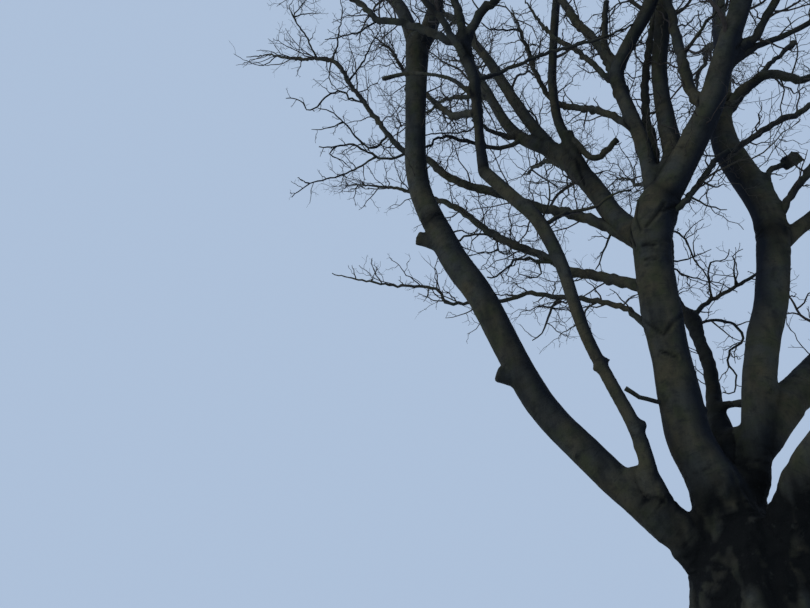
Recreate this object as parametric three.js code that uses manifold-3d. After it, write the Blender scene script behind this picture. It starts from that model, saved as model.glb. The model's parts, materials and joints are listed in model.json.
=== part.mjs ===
// A bare winter tree: an old, low-forked tree with a short thick trunk, long smooth limbs that
// bend and cross, pruned stubs, and a wide open crown of leafless twigs.
// Millimetres, +Z up, ground at z = 0. The trunk stands on the origin and +Y is the far side.
import * as THREE from 'three';
import { mergeVertices } from 'three/addons/utils/BufferGeometryUtils.js';
import Module from 'manifold-3d';

const wasm = await Module();
wasm.setup();

// Driving dimensions, in millimetres.
const CROWN_BASE = 2500;
const CROWN_TOP = 12600;
const CROWN_RADIUS = 5400;
const WIDEST_HEIGHT = 8900;
const TRUNK_RADIUS = 408;
const SHOULDER_HEIGHT = 1560;
const FORK_HEIGHT = 2360;
const TRUNK_LEAN = -0.02;
const ROOT_FLARE = 210;
const FLARE_HEIGHT = 230;
const ROOT_LOBES = 5;
const FLUTING = 14;
const TRUNK_SIDES = 20;
const GAP = 0.5;
const BOUGH_RING_SPACING = 420;
const STEM_SIDES = 4;
const STEM_RING_SPACING = 580;

// The twig rule. Shoots leave their stem at a lean of so many degrees and up to a spread more,
// from the first place along it, as a share of its length, over the share that follows. Spurs
// leave the twigs in the same way, and reach a part of the twig's length.
const TWIG = { radius: 16, lean: 40, spread: 22, first: 0.16, over: 0.8, bends: 2 };
const SPUR = { radius: 9, lean: 42, spread: 14, first: 0.35, over: 0.25, bends: 1, reach: 0.34 };
const GOLDEN_ANGLE = 137.5;
const GOLDEN_RATIO = 0.618;
const WANDER = 0.45;
const CLEARANCE = 6;
const TEST_STEP = 70;
const CHAIN_STEP = 150;

const bark = new THREE.MeshStandardMaterial({ color: 0x3b3a33, roughness: 0.9 });
const twigBark = new THREE.MeshStandardMaterial({ color: 0x332e2a, roughness: 0.9 });
const UP = new THREE.Vector3(0, 0, 1);
const radians = THREE.MathUtils.degToRad;

// A heading is measured from +X, the right, towards +Y, the far side. A rise is from level.
function direction(heading, rise) {
  const level = Math.cos(radians(rise));
  return new THREE.Vector3(
    level * Math.cos(radians(heading)),
    level * Math.sin(radians(heading)),
    Math.sin(radians(rise)),
  );
}

// The ends of the runs of a limb, walked one after the other: [length, heading, rise].
function walk(start, runs) {
  const ends = [start.clone()];
  for (const [length, heading, rise] of runs) {
    const last = ends[ends.length - 1];
    ends.push(last.clone().addScaledVector(direction(heading, rise), length));
  }
  return ends;
}

// A smooth line through those ends, measured by the distance along it.
class Course {
  constructor(ends) {
    const curve = new THREE.CatmullRomCurve3(ends, false, 'catmullrom', 0.5);
    this.points = curve.getPoints(8 * (ends.length - 1));
    this.distances = [0];
    for (let i = 1; i < this.points.length; i += 1) {
      const step = this.points[i].distanceTo(this.points[i - 1]);
      this.distances.push(this.distances[i - 1] + step);
    }
    this.length = this.distances[this.distances.length - 1];
    this.frames = this.carryFrames();
  }

  // A side direction at each point, carried along without twist.
  carryFrames() {
    const frames = [];
    let side = null;
    for (let i = 0; i < this.points.length; i += 1) {
      const before = this.points[Math.max(i - 1, 0)];
      const after = this.points[Math.min(i + 1, this.points.length - 1)];
      const tangent = after.clone().sub(before).normalize();
      if (side === null) {
        side = Math.abs(tangent.x) < 0.8 ? new THREE.Vector3(1, 0, 0) : UP.clone();
      }
      side = side.clone().addScaledVector(tangent, -side.dot(tangent)).normalize();
      frames.push({ tangent, side });
    }
    return frames;
  }

  // The point, the tangent and the side direction at a distance, also a little past either end.
  at(distance) {
    const last = this.points.length - 1;
    let i = 0;
    while (i < last - 1 && this.distances[i + 1] < distance) {
      i += 1;
    }
    const span = this.distances[i + 1] - this.distances[i];
    const share = (distance - this.distances[i]) / span;
    const mix = THREE.MathUtils.clamp(share, 0, 1);
    const point = this.points[i].clone().lerp(this.points[i + 1], share);
    const tangent = this.frames[i].tangent.clone().lerp(this.frames[i + 1].tangent, mix);
    tangent.normalize();
    const side = this.frames[i].side.clone().lerp(this.frames[i + 1].side, mix);
    side.addScaledVector(tangent, -side.dot(tangent)).normalize();
    return { point, tangent, side };
  }
}

// A closed solid from one of the geometry classes, with its faces turned outwards.
function toSolid(geometry) {
  geometry.deleteAttribute('normal');
  geometry.deleteAttribute('uv');
  const merged = mergeVertices(geometry, 1e-3);
  const corners = merged.attributes.position.array;
  const faces = [];
  let volume = 0;
  for (let i = 0; i < merged.index.count; i += 3) {
    const [a, b, c] = [0, 1, 2].map((k) => merged.index.getX(i + k));
    if (a !== b && b !== c && c !== a) {
      faces.push([a, b, c]);
      const [p, q, r] = [a, b, c].map((k) => new THREE.Vector3().fromArray(corners, 3 * k));
      volume += p.dot(q.cross(r));
    }
  }
  const turned = volume < 0 ? faces.map(([a, b, c]) => [a, c, b]) : faces;
  return new wasm.Manifold(new wasm.Mesh({
    numProp: 3,
    vertProperties: Float32Array.from(corners),
    triVerts: Uint32Array.from(turned.flat()),
  }));
}

// A round, tapering tube along a course: a lathe turned to the limb's girth, then bent.
// It grows evenly by `grow` on every side, for the clearance round a finished limb.
function tube(course, radiusAt, sides, rings, grow = 0) {
  const profile = [new THREE.Vector2(0, -grow)];
  for (let i = 0; i <= rings; i += 1) {
    const distance = (course.length * i) / rings;
    const end = i === 0 ? -grow : i === rings ? grow : 0;
    profile.push(new THREE.Vector2(radiusAt(distance) + grow, distance + end));
  }
  profile.push(new THREE.Vector2(0, course.length + grow));
  const lathe = new THREE.LatheGeometry(profile, sides);
  const position = lathe.attributes.position;
  for (let i = 0; i < position.count; i += 1) {
    const { point, tangent, side } = course.at(position.getY(i));
    const other = tangent.clone().cross(side);
    point.addScaledVector(side, position.getX(i)).addScaledVector(other, position.getZ(i));
    position.setXYZ(i, point.x, point.y, point.z);
  }
  return toSolid(lathe);
}

// The girth is a list of radii at even steps along a limb, with a collar where it leaves.
function girthOf(girth, length, collar) {
  return (distance) => {
    const place = THREE.MathUtils.clamp(distance / length, 0, 1) * (girth.length - 1);
    const i = Math.min(Math.floor(place), girth.length - 2);
    const radius = THREE.MathUtils.lerp(girth[i], girth[i + 1], place - i);
    return radius + collar * Math.exp(-distance / (2.2 * girth[0]));
  };
}

// The largest body that is left when everything finished before has been cut away.
function clearOf(solid, taken) {
  let rest = solid;
  for (const other of taken) {
    if (boxesMeet(rest.boundingBox(), other.boundingBox())) {
      rest = rest.subtract(other);
    }
  }
  const bodies = rest.decompose();
  bodies.sort((a, b) => b.volume() - a.volume());
  return bodies[0].simplify(0.05);
}

function boxesMeet(a, b) {
  return [0, 1, 2].every((k) => a.min[k] <= b.max[k] && b.min[k] <= a.max[k]);
}

// The trunk: short and thick, with lobed root flare at the ground and a domed shoulder that the
// great boughs leave from.
function trunkRadius(height, angle) {
  const flare = ROOT_FLARE * Math.exp(-height / FLARE_HEIGHT);
  const lobe = 1 + 0.5 * Math.cos(ROOT_LOBES * angle + 0.6);
  const fluting = FLUTING * Math.cos(3 * angle + height / 600);
  const rise = Math.max(0, (height - SHOULDER_HEIGHT) / (FORK_HEIGHT - SHOULDER_HEIGHT));
  const shoulder = Math.sqrt(Math.max(0, 1 - rise ** 2.4));
  return (TRUNK_RADIUS + fluting + flare * lobe) * shoulder;
}

function trunkSolid(grow) {
  const heights = [0, 70, 160, 290, 480, 760, 1100, 1400, 1650, 1850, 2030, 2180, 2290, 2350];
  const profile = [new THREE.Vector2(0, -grow)];
  for (const height of heights) {
    profile.push(new THREE.Vector2(1, height === 0 ? -grow : height));
  }
  profile.push(new THREE.Vector2(0, FORK_HEIGHT + grow));
  const lathe = new THREE.LatheGeometry(profile, TRUNK_SIDES);
  const position = lathe.attributes.position;
  for (let i = 0; i < position.count; i += 1) {
    const unit = Math.hypot(position.getX(i), position.getZ(i));
    const height = position.getY(i);
    const angle = Math.atan2(position.getZ(i), position.getX(i));
    const radius = unit > 0.5 ? trunkRadius(Math.max(height, 0), angle) + grow : 0;
    const lean = TRUNK_LEAN * height;
    position.setXYZ(i, lean + radius * Math.cos(angle), radius * Math.sin(angle), height);
  }
  return toSolid(lathe);
}

// The boughs. Each is one limb: where it leaves its parent (a distance along it, or back from
// its tip when negative, or a place inside the trunk), its runs, its girth and its pruned stubs.
const BOUGHS = [
  // The great left bough climbs away from the fork, straightens at the bend and goes up.
  { name: 'bough_left_lower', from: 'trunk', at: [-160, 20, 1665], sides: 8, collar: 0,
    girth: [176, 150, 122, 112, 111, 112, 114, 115, 116, 112],
    runs: [[385, -162, 54], [235, -170, 45], [275, -174, 46], [360, -172, 50], [420, -173, 54],
      [490, -166, 66], [490, -163, 69], [480, -170, 62], [460, -170, 68]],
    stubs: [[1850, -153, 20, 250, 57], [3280, -155, 23, 290, 56]] },
  { name: 'bough_left_upper', from: 'bough_left_lower', at: -1, sides: 8, collar: 0,
    girth: [112, 107, 102, 105, 111, 128],
    runs: [[290, -174, 70], [250, -170, 78], [350, -122, 86], [600, -53, 84], [680, -50, 81]] },
  { name: 'bough_left_prong_outer', from: 'bough_left_upper', at: -160, sides: 6, collar: 0,
    girth: [80, 75, 66, 58, 46],
    runs: [[620, -173, 79], [480, 174, 69], [700, 165, 62], [600, 160, 66]] },
  { name: 'bough_left_prong_inner', from: 'bough_left_upper', at: -160, sides: 6, collar: 0,
    girth: [90, 86, 78, 64, 48],
    runs: [[440, -10, 63], [250, -25, 73], [700, -60, 70], [600, -75, 72]] },
  // The slender bough that leaves the great left bough low down and climbs in front of it.
  { name: 'bough_front_left_lower', from: 'bough_left_lower', at: 670, sides: 7, collar: 24,
    girth: [54, 50, 45, 46, 48, 55, 56, 52],
    runs: [[210, -67, 53], [180, -94, 77], [200, -134, 74], [280, -145, 68], [330, -148, 70],
      [310, -131, 75], [340, -144, 79], [390, -157, 71], [280, -162, 54], [370, -164, 54]] },
  { name: 'bough_front_left_upper', from: 'bough_front_left_lower', at: -1, sides: 6, collar: 0,
    girth: [50, 42, 47, 52, 64],
    runs: [[260, -93, 81], [330, -75, 79], [300, -77, 78], [230, -135, 76], [270, -101, 81]] },
  { name: 'bough_pruned_left', from: 'bough_front_left_upper', at: 700, sides: 6, collar: 6,
    girth: [25, 22, 19, 21, 25],
    runs: [[310, -157, 51], [270, -170, 33], [240, -174, 23], [220, -175, 8]] },
  // The centre bough, which parts into three high up.
  { name: 'bough_centre', from: 'trunk', at: [-60, -10, 1980], sides: 9, collar: 0,
    girth: [172, 156, 140, 134, 139, 138, 156],
    runs: [[360, -165, 72], [280, -165, 73], [270, -139, 87], [290, -84, 84], [290, -95, 84],
      [320, -71, 84], [310, -51, 81], [300, -13, 71]] },
  { name: 'bough_centre_left', from: 'bough_centre', at: -60, sides: 7, collar: 10,
    girth: [66, 61, 58, 60, 58, 58, 57, 54, 50, 46],
    runs: [[420, -62, 86], [190, -104, 85], [240, -143, 82], [250, -152, 80], [250, -114, 82],
      [170, -23, 63], [180, -20, 49], [320, -25, 45], [500, -35, 60], [500, -50, 62],
      [700, -60, 68]] },
  { name: 'bough_centre_right', from: 'bough_centre', at: -60, sides: 8, collar: 0,
    girth: [118, 106, 92, 80, 72, 66, 61, 56, 50],
    runs: [[360, -20, 48], [260, -27, 47], [230, -27, 48], [230, -35, 58], [260, -34, 56],
      [290, -36, 54], [500, -40, 55], [500, -45, 58], [700, -40, 62]] },
  { name: 'bough_centre_back', from: 'bough_centre', at: -60, sides: 7, collar: 8,
    girth: [92, 78, 65, 65, 70, 68, 62, 54, 46],
    runs: [[450, -7, 65], [310, 43, 84], [310, -14, 88], [330, 1, 84], [300, -16, 76],
      [410, -22, 75], [500, 60, 78], [900, 20, 82], [800, 60, 78]] },
  // The rear-left bough leaves the centre bough in its crotch, crosses behind and forks.
  { name: 'bough_left_rear', from: 'bough_centre', at: 2080, sides: 8, collar: 10,
    girth: [92, 90, 89, 89, 88],
    runs: [[560, 141, 56], [310, 141, 67], [320, 144, 65], [350, 150, 62], [310, 160, 56]] },
  { name: 'bough_left_rear_outer', from: 'bough_left_rear', at: -90, sides: 7, collar: 0,
    girth: [70, 62, 61, 61, 58, 55, 50],
    runs: [[650, 150, 65], [450, 159, 69], [430, 163, 71], [590, 156, 70], [710, 159, 67]] },
  { name: 'bough_left_rear_inner', from: 'bough_left_rear', at: -90, sides: 7, collar: 0,
    girth: [66, 61, 55, 52, 49, 47],
    runs: [[460, 166, 48], [370, 161, 59], [420, 150, 68], [420, 141, 68], [610, 131, 64],
      [700, 126, 64]] },
  { name: 'bough_upright', from: 'bough_left_rear', at: 1000, sides: 6, collar: 10,
    girth: [56, 52, 46, 45, 45, 45, 42],
    runs: [[720, 154, 74], [290, 178, 78], [330, -179, 89], [330, 0, 86], [980, 0, 81],
      [800, 40, 76]] },
  // The rear-right bough stands behind the centre bough, then bends back across it.
  { name: 'bough_right_lower', from: 'trunk', at: [16, 60, 1980], sides: 8, collar: 0,
    girth: [116, 106, 105, 109, 111, 116],
    runs: [[500, 0, 79], [380, 11, 74], [220, 30, 74], [270, 25, 70], [250, 24, 66],
      [300, 24, 72], [320, 29, 75]] },
  { name: 'bough_right_upper', from: 'bough_right_lower', at: -1, sides: 8, collar: 0,
    girth: [114, 116, 112, 92, 83, 76, 70, 63, 56],
    runs: [[250, 72, 80], [260, 131, 78], [260, 140, 76], [290, 135, 79], [320, 66, 82],
      [370, 26, 76], [600, 50, 72], [600, 70, 68], [800, 60, 70]] },
  { name: 'bough_right_outer', from: 'bough_right_lower', at: -160, sides: 7, collar: 12,
    girth: [58, 54, 52, 50, 46],
    runs: [[310, 29, 41], [190, 21, 35], [600, 24, 38], [600, 34, 48], [800, 36, 58],
      [800, 30, 62]] },
  // Three thick boughs leave the right side of the trunk, low down.
  { name: 'bough_right_rear', from: 'trunk', at: [-10, 40, 2000], sides: 8, collar: 0,
    girth: [92, 98, 118, 120, 104, 86, 72, 60, 50],
    runs: [[490, 14, 75], [290, 27, 54], [230, 37, 42], [200, 39, 34], [700, 50, 36],
      [700, 46, 44], [700, 42, 52], [700, 40, 58]] },
  { name: 'bough_right_front', from: 'trunk', at: [20, -70, 1700], sides: 9, collar: 0,
    girth: [150, 132, 112, 102, 92, 82, 70, 58, 50],
    runs: [[260, -30, 56], [240, -35, 54], [260, -36, 49], [800, -34, 42], [800, -28, 48],
      [800, -30, 58], [800, -26, 62]] },
  { name: 'bough_right_low', from: 'trunk', at: [60, 0, 1600], sides: 8, collar: 0,
    girth: [110, 93, 90, 84, 76, 68, 60, 50],
    runs: [[260, -4, 36], [150, 0, 26], [600, 4, 30], [700, 8, 40], [700, 2, 50],
      [600, -4, 58], [600, 0, 60]] },
  { name: 'bough_rear', from: 'trunk', at: [-20, 60, 2150], sides: 7, collar: 0,
    girth: [100, 92, 52, 46, 48, 50, 50, 46, 42],
    runs: [[410, 105, 75], [340, 94, 58], [240, 84, 65], [230, 82, 64], [320, 100, 60],
      [320, 107, 59], [600, 98, 55], [700, 90, 60], [700, 84, 64]] },
];

// The twig masses. Each grows from one stem that leaves a bough, along its runs where the stem
// itself is a slender limb, or straight out to a place in the crown. Reach is the longest twig.
const MASSES = [
  { name: 'twigs_left_far', from: 'bough_centre', at: 2000, reach: 900, twigs: 12, seed: 11,
    girth: [46, 45, 42, 41, 37, 30, 27, 26, 24, 18, 12, 5],
    runs: [[540, 146, 53], [400, 168, 42], [450, 177, 32], [380, 180, 39], [310, -174, 30],
      [330, -173, 41], [310, -174, 54], [340, -173, 38], [340, -171, 57], [580, -167, 62],
      [430, -172, 60], [530, -168, 63], [700, 178, 32], [700, 176, 36], [500, 178, 26]] },
  { name: 'twigs_left_middle', from: 'bough_centre', at: 1740, reach: 800, twigs: 9, seed: 12,
    girth: [46, 44, 38, 37, 34, 30, 25, 18, 11, 5],
    runs: [[230, 147, 32], [350, 153, 35], [280, 164, 30], [310, 172, 46], [600, 175, 40],
      [490, 176, 51], [380, 176, 43], [600, 172, 36], [600, 176, 28], [400, 178, 22]] },
  { name: 'twigs_left_low', from: 'bough_centre', at: 1400, reach: 640, twigs: 9, seed: 13,
    girth: [38, 31, 25, 22, 19, 15, 14, 12, 9, 5],
    runs: [[310, 147, 45], [150, 157, 46], [200, 166, 31], [450, 172, 25], [190, 176, 24],
      [180, 180, -5], [370, -175, 5], [230, -175, 11], [200, -170, 59], [430, -174, 16],
      [450, -175, 21], [350, 178, 24]] },
  { name: 'twigs_left_crossing', from: 'bough_front_left_upper', at: 560, reach: 800, twigs: 8,
    seed: 14, girth: [34, 31, 26, 25, 25, 20, 12, 5],
    runs: [[310, 138, 41], [240, 149, 35], [790, 140, 54], [1010, 151, 59], [580, 168, 67],
      [600, 170, 58]] },
  { name: 'twigs_left_prong_outer', from: 'bough_left_prong_outer', at: -1, reach: 1150,
    twigs: 7, seed: 15, girth: [48, 34, 20, 7], to: [-3950, -700, 10300] },
  { name: 'twigs_left_prong_inner', from: 'bough_left_prong_inner', at: -1, reach: 1150,
    twigs: 7, seed: 16, girth: [48, 34, 20, 7], to: [-2100, -2600, 10300] },
  { name: 'twigs_left_prong_side', from: 'bough_left_prong_outer', at: 1100, reach: 1100,
    twigs: 7, seed: 17, girth: [34, 26, 16, 6], to: [-4000, -1900, 8900] },
  { name: 'twigs_front_left', from: 'bough_front_left_upper', at: -50, reach: 1000, twigs: 7,
    seed: 18, girth: [38, 34, 27, 18, 7],
    runs: [[490, -125, 82], [500, -135, 70], [600, -125, 62], [700, -118, 60]] },
  { name: 'twigs_front_crossing', from: 'bough_front_left_upper', at: -70, reach: 1000,
    twigs: 7, seed: 19, girth: [40, 36, 29, 20, 7],
    runs: [[340, -14, 43], [110, -9, 4], [500, -25, 40], [600, -35, 50], [600, -40, 56]] },
  { name: 'twigs_front_left_outer', from: 'bough_front_left_upper', at: -100, reach: 850,
    twigs: 9, seed: 20, girth: [36, 34, 30, 27, 19, 7],
    runs: [[260, -163, 34], [540, -173, 44], [280, -175, 33], [460, -173, 58], [500, -170, 45],
      [600, 175, 42]] },
  { name: 'twigs_front_left_forward', from: 'bough_front_left_upper', at: -300, reach: 1000,
    twigs: 7, seed: 21, girth: [32, 26, 18, 6], to: [-2600, -3500, 8000] },
  { name: 'twigs_rear_left_outer', from: 'bough_left_rear_outer', at: -1, reach: 1200,
    twigs: 7, seed: 22, girth: [52, 38, 22, 7], to: [-3000, 1300, 10900] },
  { name: 'twigs_rear_left_inner', from: 'bough_left_rear_inner', at: -1, reach: 1200,
    twigs: 7, seed: 23, girth: [45, 34, 20, 7], to: [-2700, 3400, 9600] },
  { name: 'twigs_rear_left_side', from: 'bough_left_rear_inner', at: 1500, reach: 1000,
    twigs: 7, seed: 24, girth: [34, 26, 16, 6], to: [-3600, 1900, 8300] },
  { name: 'twigs_rear_left_low', from: 'bough_left_rear', at: 900, reach: 1000, twigs: 7,
    seed: 25, girth: [40, 30, 18, 6], to: [-1900, 2700, 7300] },
  { name: 'twigs_centre_slender', from: 'bough_centre', at: -60, reach: 600, twigs: 6,
    seed: 26, girth: [33, 32, 34, 33, 31, 27, 19, 7],
    runs: [[580, 45, 79], [340, 98, 87], [270, 3, 85], [270, 0, 79], [440, 0, 75],
      [270, 0, 73], [500, 10, 76], [500, 30, 72]] },
  { name: 'twigs_centre_left', from: 'bough_centre_left', at: 1180, reach: 700, twigs: 7,
    seed: 27, girth: [42, 40, 39, 36, 28, 18, 7],
    runs: [[580, 138, 80], [250, 148, 72], [450, 157, 70], [370, 154, 76], [700, 150, 70],
      [700, 140, 72]] },
  { name: 'twigs_centre_wander', from: 'bough_centre_left', at: 760, reach: 600, twigs: 7,
    seed: 28, girth: [30, 29, 30, 29, 25, 22, 19, 13, 6],
    runs: [[470, 152, 57], [310, 132, 48], [420, 130, 47], [450, 136, 51], [330, 164, 70],
      [350, 146, 75], [400, 134, 80], [460, 147, 79], [600, 120, 70]] },
  { name: 'twigs_upright', from: 'bough_upright', at: -1, reach: 1150, twigs: 7, seed: 29,
    girth: [42, 34, 22, 7], to: [-1000, 900, 11300] },
  { name: 'twigs_front_top', from: 'bough_centre_left', at: -1, reach: 1150, twigs: 7,
    seed: 30, girth: [46, 36, 22, 7], to: [500, -2000, 10600] },
  { name: 'twigs_front', from: 'bough_centre_left', at: 2400, reach: 1150, twigs: 7, seed: 31,
    girth: [40, 32, 20, 7], to: [-300, -4000, 8500] },
  { name: 'twigs_crown_top', from: 'bough_centre_back', at: -1, reach: 1100, twigs: 7,
    seed: 32, girth: [46, 36, 22, 7], to: [200, -200, 11700] },
  { name: 'twigs_crown_right', from: 'bough_centre_back', at: 3400, reach: 1150, twigs: 7,
    seed: 33, girth: [38, 30, 20, 7], to: [2200, 0, 10900] },
  { name: 'twigs_front_right_top', from: 'bough_centre_right', at: -1, reach: 1200, twigs: 7,
    seed: 34, girth: [50, 38, 22, 7], to: [2900, -2700, 9600] },
  { name: 'twigs_centre_upright', from: 'bough_centre_right', at: 820, reach: 650, twigs: 6,
    seed: 35, girth: [43, 41, 36, 33, 26, 16, 7],
    runs: [[240, 165, 71], [220, 179, 88], [220, -92, 85], [440, -55, 87], [700, -85, 72],
      [700, -70, 66]] },
  { name: 'twigs_right_crossing', from: 'bough_centre', at: 2200, reach: 850, twigs: 7,
    seed: 36, girth: [31, 28, 27, 28, 28, 26, 18, 7],
    runs: [[220, -16, 28], [180, 27, 44], [220, 34, 50], [260, 40, 52], [170, 30, 33],
      [450, 13, 27], [280, 14, 24], [700, 10, 34], [700, 4, 42]] },
  { name: 'twigs_right_inner', from: 'bough_right_upper', at: 1450, reach: 850, twigs: 7,
    seed: 37, girth: [62, 44, 32, 29, 26, 20, 14, 7],
    runs: [[260, 1, 38], [160, -9, 31], [160, 0, -7], [110, 0, -49], [170, 14, -11],
      [600, 12, 22], [600, 6, 40], [600, 0, 46]] },
  { name: 'twigs_right_upright', from: 'bough_centre_right', at: 1250, reach: 900, twigs: 7,
    seed: 38, girth: [32, 29, 28, 24, 16, 7],
    runs: [[180, 18, 22], [70, 0, 26], [130, 0, 57], [180, -15, 50], [700, -20, 52],
      [700, -12, 60]] },
  { name: 'twigs_rear_top', from: 'bough_right_upper', at: -1, reach: 1200, twigs: 7,
    seed: 39, girth: [55, 40, 24, 7], to: [1100, 2300, 10800] },
  { name: 'twigs_rear_high', from: 'bough_right_upper', at: 2500, reach: 1200, twigs: 7,
    seed: 40, girth: [40, 32, 20, 7], to: [500, 4200, 8700] },
  { name: 'twigs_right_outer', from: 'bough_right_outer', at: -1, reach: 1200, twigs: 7,
    seed: 41, girth: [46, 36, 22, 7], to: [3500, 1900, 9500] },
  { name: 'twigs_right_rear', from: 'bough_right_rear', at: -1, reach: 1200, twigs: 8,
    seed: 42, girth: [46, 36, 22, 7], to: [3000, 3200, 7500] },
  { name: 'twigs_right_front', from: 'bough_right_front', at: -1, reach: 1200, twigs: 8,
    seed: 43, girth: [50, 38, 22, 7], to: [3500, -2300, 7200] },
  { name: 'twigs_right_front_side', from: 'bough_right_front', at: 2100, reach: 1100,
    twigs: 7, seed: 44, girth: [42, 32, 20, 7], to: [1900, -3900, 6600] },
  { name: 'twigs_right_low', from: 'bough_right_low', at: -1, reach: 1200, twigs: 8,
    seed: 45, girth: [52, 38, 22, 7], to: [4300, 100, 7000] },
  { name: 'twigs_rear', from: 'bough_rear', at: -1, reach: 1200, twigs: 8, seed: 46,
    girth: [38, 30, 20, 7], to: [-700, 3500, 7400] },
];

// The crown: how far out the tree reaches at a height, narrow below, widest high up, domed.
function crownReach(height) {
  if (height < WIDEST_HEIGHT) {
    const share = (height - CROWN_BASE) / (WIDEST_HEIGHT - CROWN_BASE);
    return CROWN_RADIUS * Math.sqrt(Math.max(0, share));
  }
  const share = (height - WIDEST_HEIGHT) / (CROWN_TOP - WIDEST_HEIGHT);
  return CROWN_RADIUS * Math.sqrt(Math.max(0, 1 - share * share));
}

// The same numbers every time, from a seed.
function seeded(seed) {
  let state = Math.imul(seed, 0x9e3779b1) >>> 0;
  return () => {
    state = (state + 0x6d2b79f5) >>> 0;
    let mixed = Math.imul(state ^ (state >>> 15), state | 1);
    mixed ^= mixed + Math.imul(mixed ^ (mixed >>> 7), mixed | 61);
    return ((mixed ^ (mixed >>> 14)) >>> 0) / 4294967296;
  };
}

// Points at even steps along a course, with the limb's radius there, for the distance tests.
function chainOf(course, radiusAt) {
  const count = Math.ceil(course.length / CHAIN_STEP);
  const chain = [];
  for (let i = 0; i <= count; i += 1) {
    const distance = (course.length * i) / count;
    chain.push({ point: course.at(distance).point, radius: radiusAt(distance) });
  }
  return chain;
}

// How far a place is from a chain, along its centre line, and from its surface.
function distanceToChain(place, chain) {
  let line = Infinity;
  let surface = Infinity;
  for (let i = 0; i + 1 < chain.length; i += 1) {
    const start = chain[i].point;
    const span = chain[i + 1].point.clone().sub(start);
    const share = place.clone().sub(start).dot(span) / span.lengthSq();
    const nearest = start.clone().addScaledVector(span, THREE.MathUtils.clamp(share, 0, 1));
    const distance = nearest.distanceTo(place);
    line = Math.min(line, distance);
    surface = Math.min(surface, distance - Math.max(chain[i].radius, chain[i + 1].radius));
  }
  return { line, surface };
}

// A twig may grow where it stays inside the crown and its own mass's space, which is whatever
// lies nearer to its own stem than to any other, and where it is clear of every bough.
function mayGrow(course, radius, mass, stems, boughs) {
  const checks = Math.ceil(course.length / TEST_STEP);
  for (let i = 1; i <= checks; i += 1) {
    const place = course.at((course.length * i) / checks).point;
    if (Math.hypot(place.x, place.y) > crownReach(place.z)) {
      return false;
    }
    const own = distanceToChain(place, stems.get(mass.name).chain).line;
    for (const [name, stem] of stems) {
      if (name !== mass.name && distanceToChain(place, stem.chain).line < own + 2 * radius) {
        return false;
      }
    }
    for (const bough of boughs.values()) {
      if (distanceToChain(place, bough.chain).surface < radius + CLEARANCE) {
        return false;
      }
    }
  }
  return true;
}

// A shoot leaves its parent at an angle, on a side that turns by the golden angle from one
// shoot to the next, wanders a little and lifts towards the light.
function shoot(parent, distance, index, lean, length, bends, random) {
  const { point, tangent, side } = parent.at(distance);
  const turn = radians(index * GOLDEN_ANGLE + 40 * random());
  const outward = side.clone().applyAxisAngle(tangent, turn);
  const way = tangent.clone().multiplyScalar(Math.cos(radians(lean)));
  way.addScaledVector(outward, Math.sin(radians(lean)));
  const ends = [point];
  for (let i = 0; i < bends; i += 1) {
    const wander = new THREE.Vector3(random() - 0.5, random() - 0.5, random() - 0.2);
    way.addScaledVector(wander, WANDER).normalize();
    ends.push(ends[i].clone().addScaledVector(way, length / bends));
  }
  return new Course(ends);
}

// The twigs of one mass: places along the stem are taken in golden-ratio order, so that any
// number of twigs is spread evenly. Every second twig carries a spur by the same rule.
function growMass(mass, stems, boughs) {
  const { course, radiusAt, solid } = stems.get(mass.name);
  const pieces = [solid];
  let grown = 0;
  for (let bud = 0; bud < 4 * mass.twigs && grown < mass.twigs; bud += 1) {
    const random = seeded(mass.seed * 1000 + bud);
    const share = TWIG.first + TWIG.over * ((bud * GOLDEN_RATIO + 0.35) % 1);
    const distance = share * course.length;
    const lean = TWIG.lean + TWIG.spread * random();
    const length = mass.reach * (1.1 - 0.45 * share) * (0.7 + 0.4 * random());
    const base = Math.min(TWIG.radius, 0.8 * radiusAt(distance));
    const twig = shoot(course, distance, bud, lean, length, TWIG.bends, random);
    if (mayGrow(twig, base, mass, stems, boughs)) {
      pieces.push(tube(twig, (d) => base * (1 - d / twig.length), 3, TWIG.bends));
      grown += 1;
      const place = (SPUR.first + SPUR.over * random()) * twig.length;
      const reach = length * (SPUR.reach + 0.2 * random());
      const thin = Math.min(SPUR.radius, 0.7 * base * (1 - place / twig.length));
      const turn = SPUR.lean + SPUR.spread * random();
      const spur = shoot(twig, place, bud, turn, reach, SPUR.bends, random);
      if (grown % 2 === 0 && mayGrow(spur, thin, mass, stems, boughs)) {
        pieces.push(tube(spur, (d) => thin * (1 - d / spur.length), 3, SPUR.bends));
      }
    }
  }
  return wasm.Manifold.union(pieces);
}

// The course of a limb: from its place on the parent along its runs, or out to one place, first
// on the parent's own way and then swinging round to its goal.
function courseOf(limb, parents) {
  if (limb.from === 'trunk') {
    return new Course(walk(new THREE.Vector3(...limb.at), limb.runs));
  }
  const parent = parents.get(limb.from).course;
  const distance = limb.at < 0 ? parent.length + limb.at + 1 : limb.at;
  const { point, tangent } = parent.at(distance);
  if (limb.runs) {
    return new Course(walk(point, limb.runs));
  }
  const goal = new THREE.Vector3(...limb.to);
  const span = goal.distanceTo(point);
  const knee = point.clone().lerp(goal, 0.3).addScaledVector(tangent, 0.14 * span);
  const elbow = point.clone().lerp(goal, 0.65).addScaledVector(tangent, 0.07 * span);
  return new Course([point, knee, elbow, goal]);
}

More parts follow.
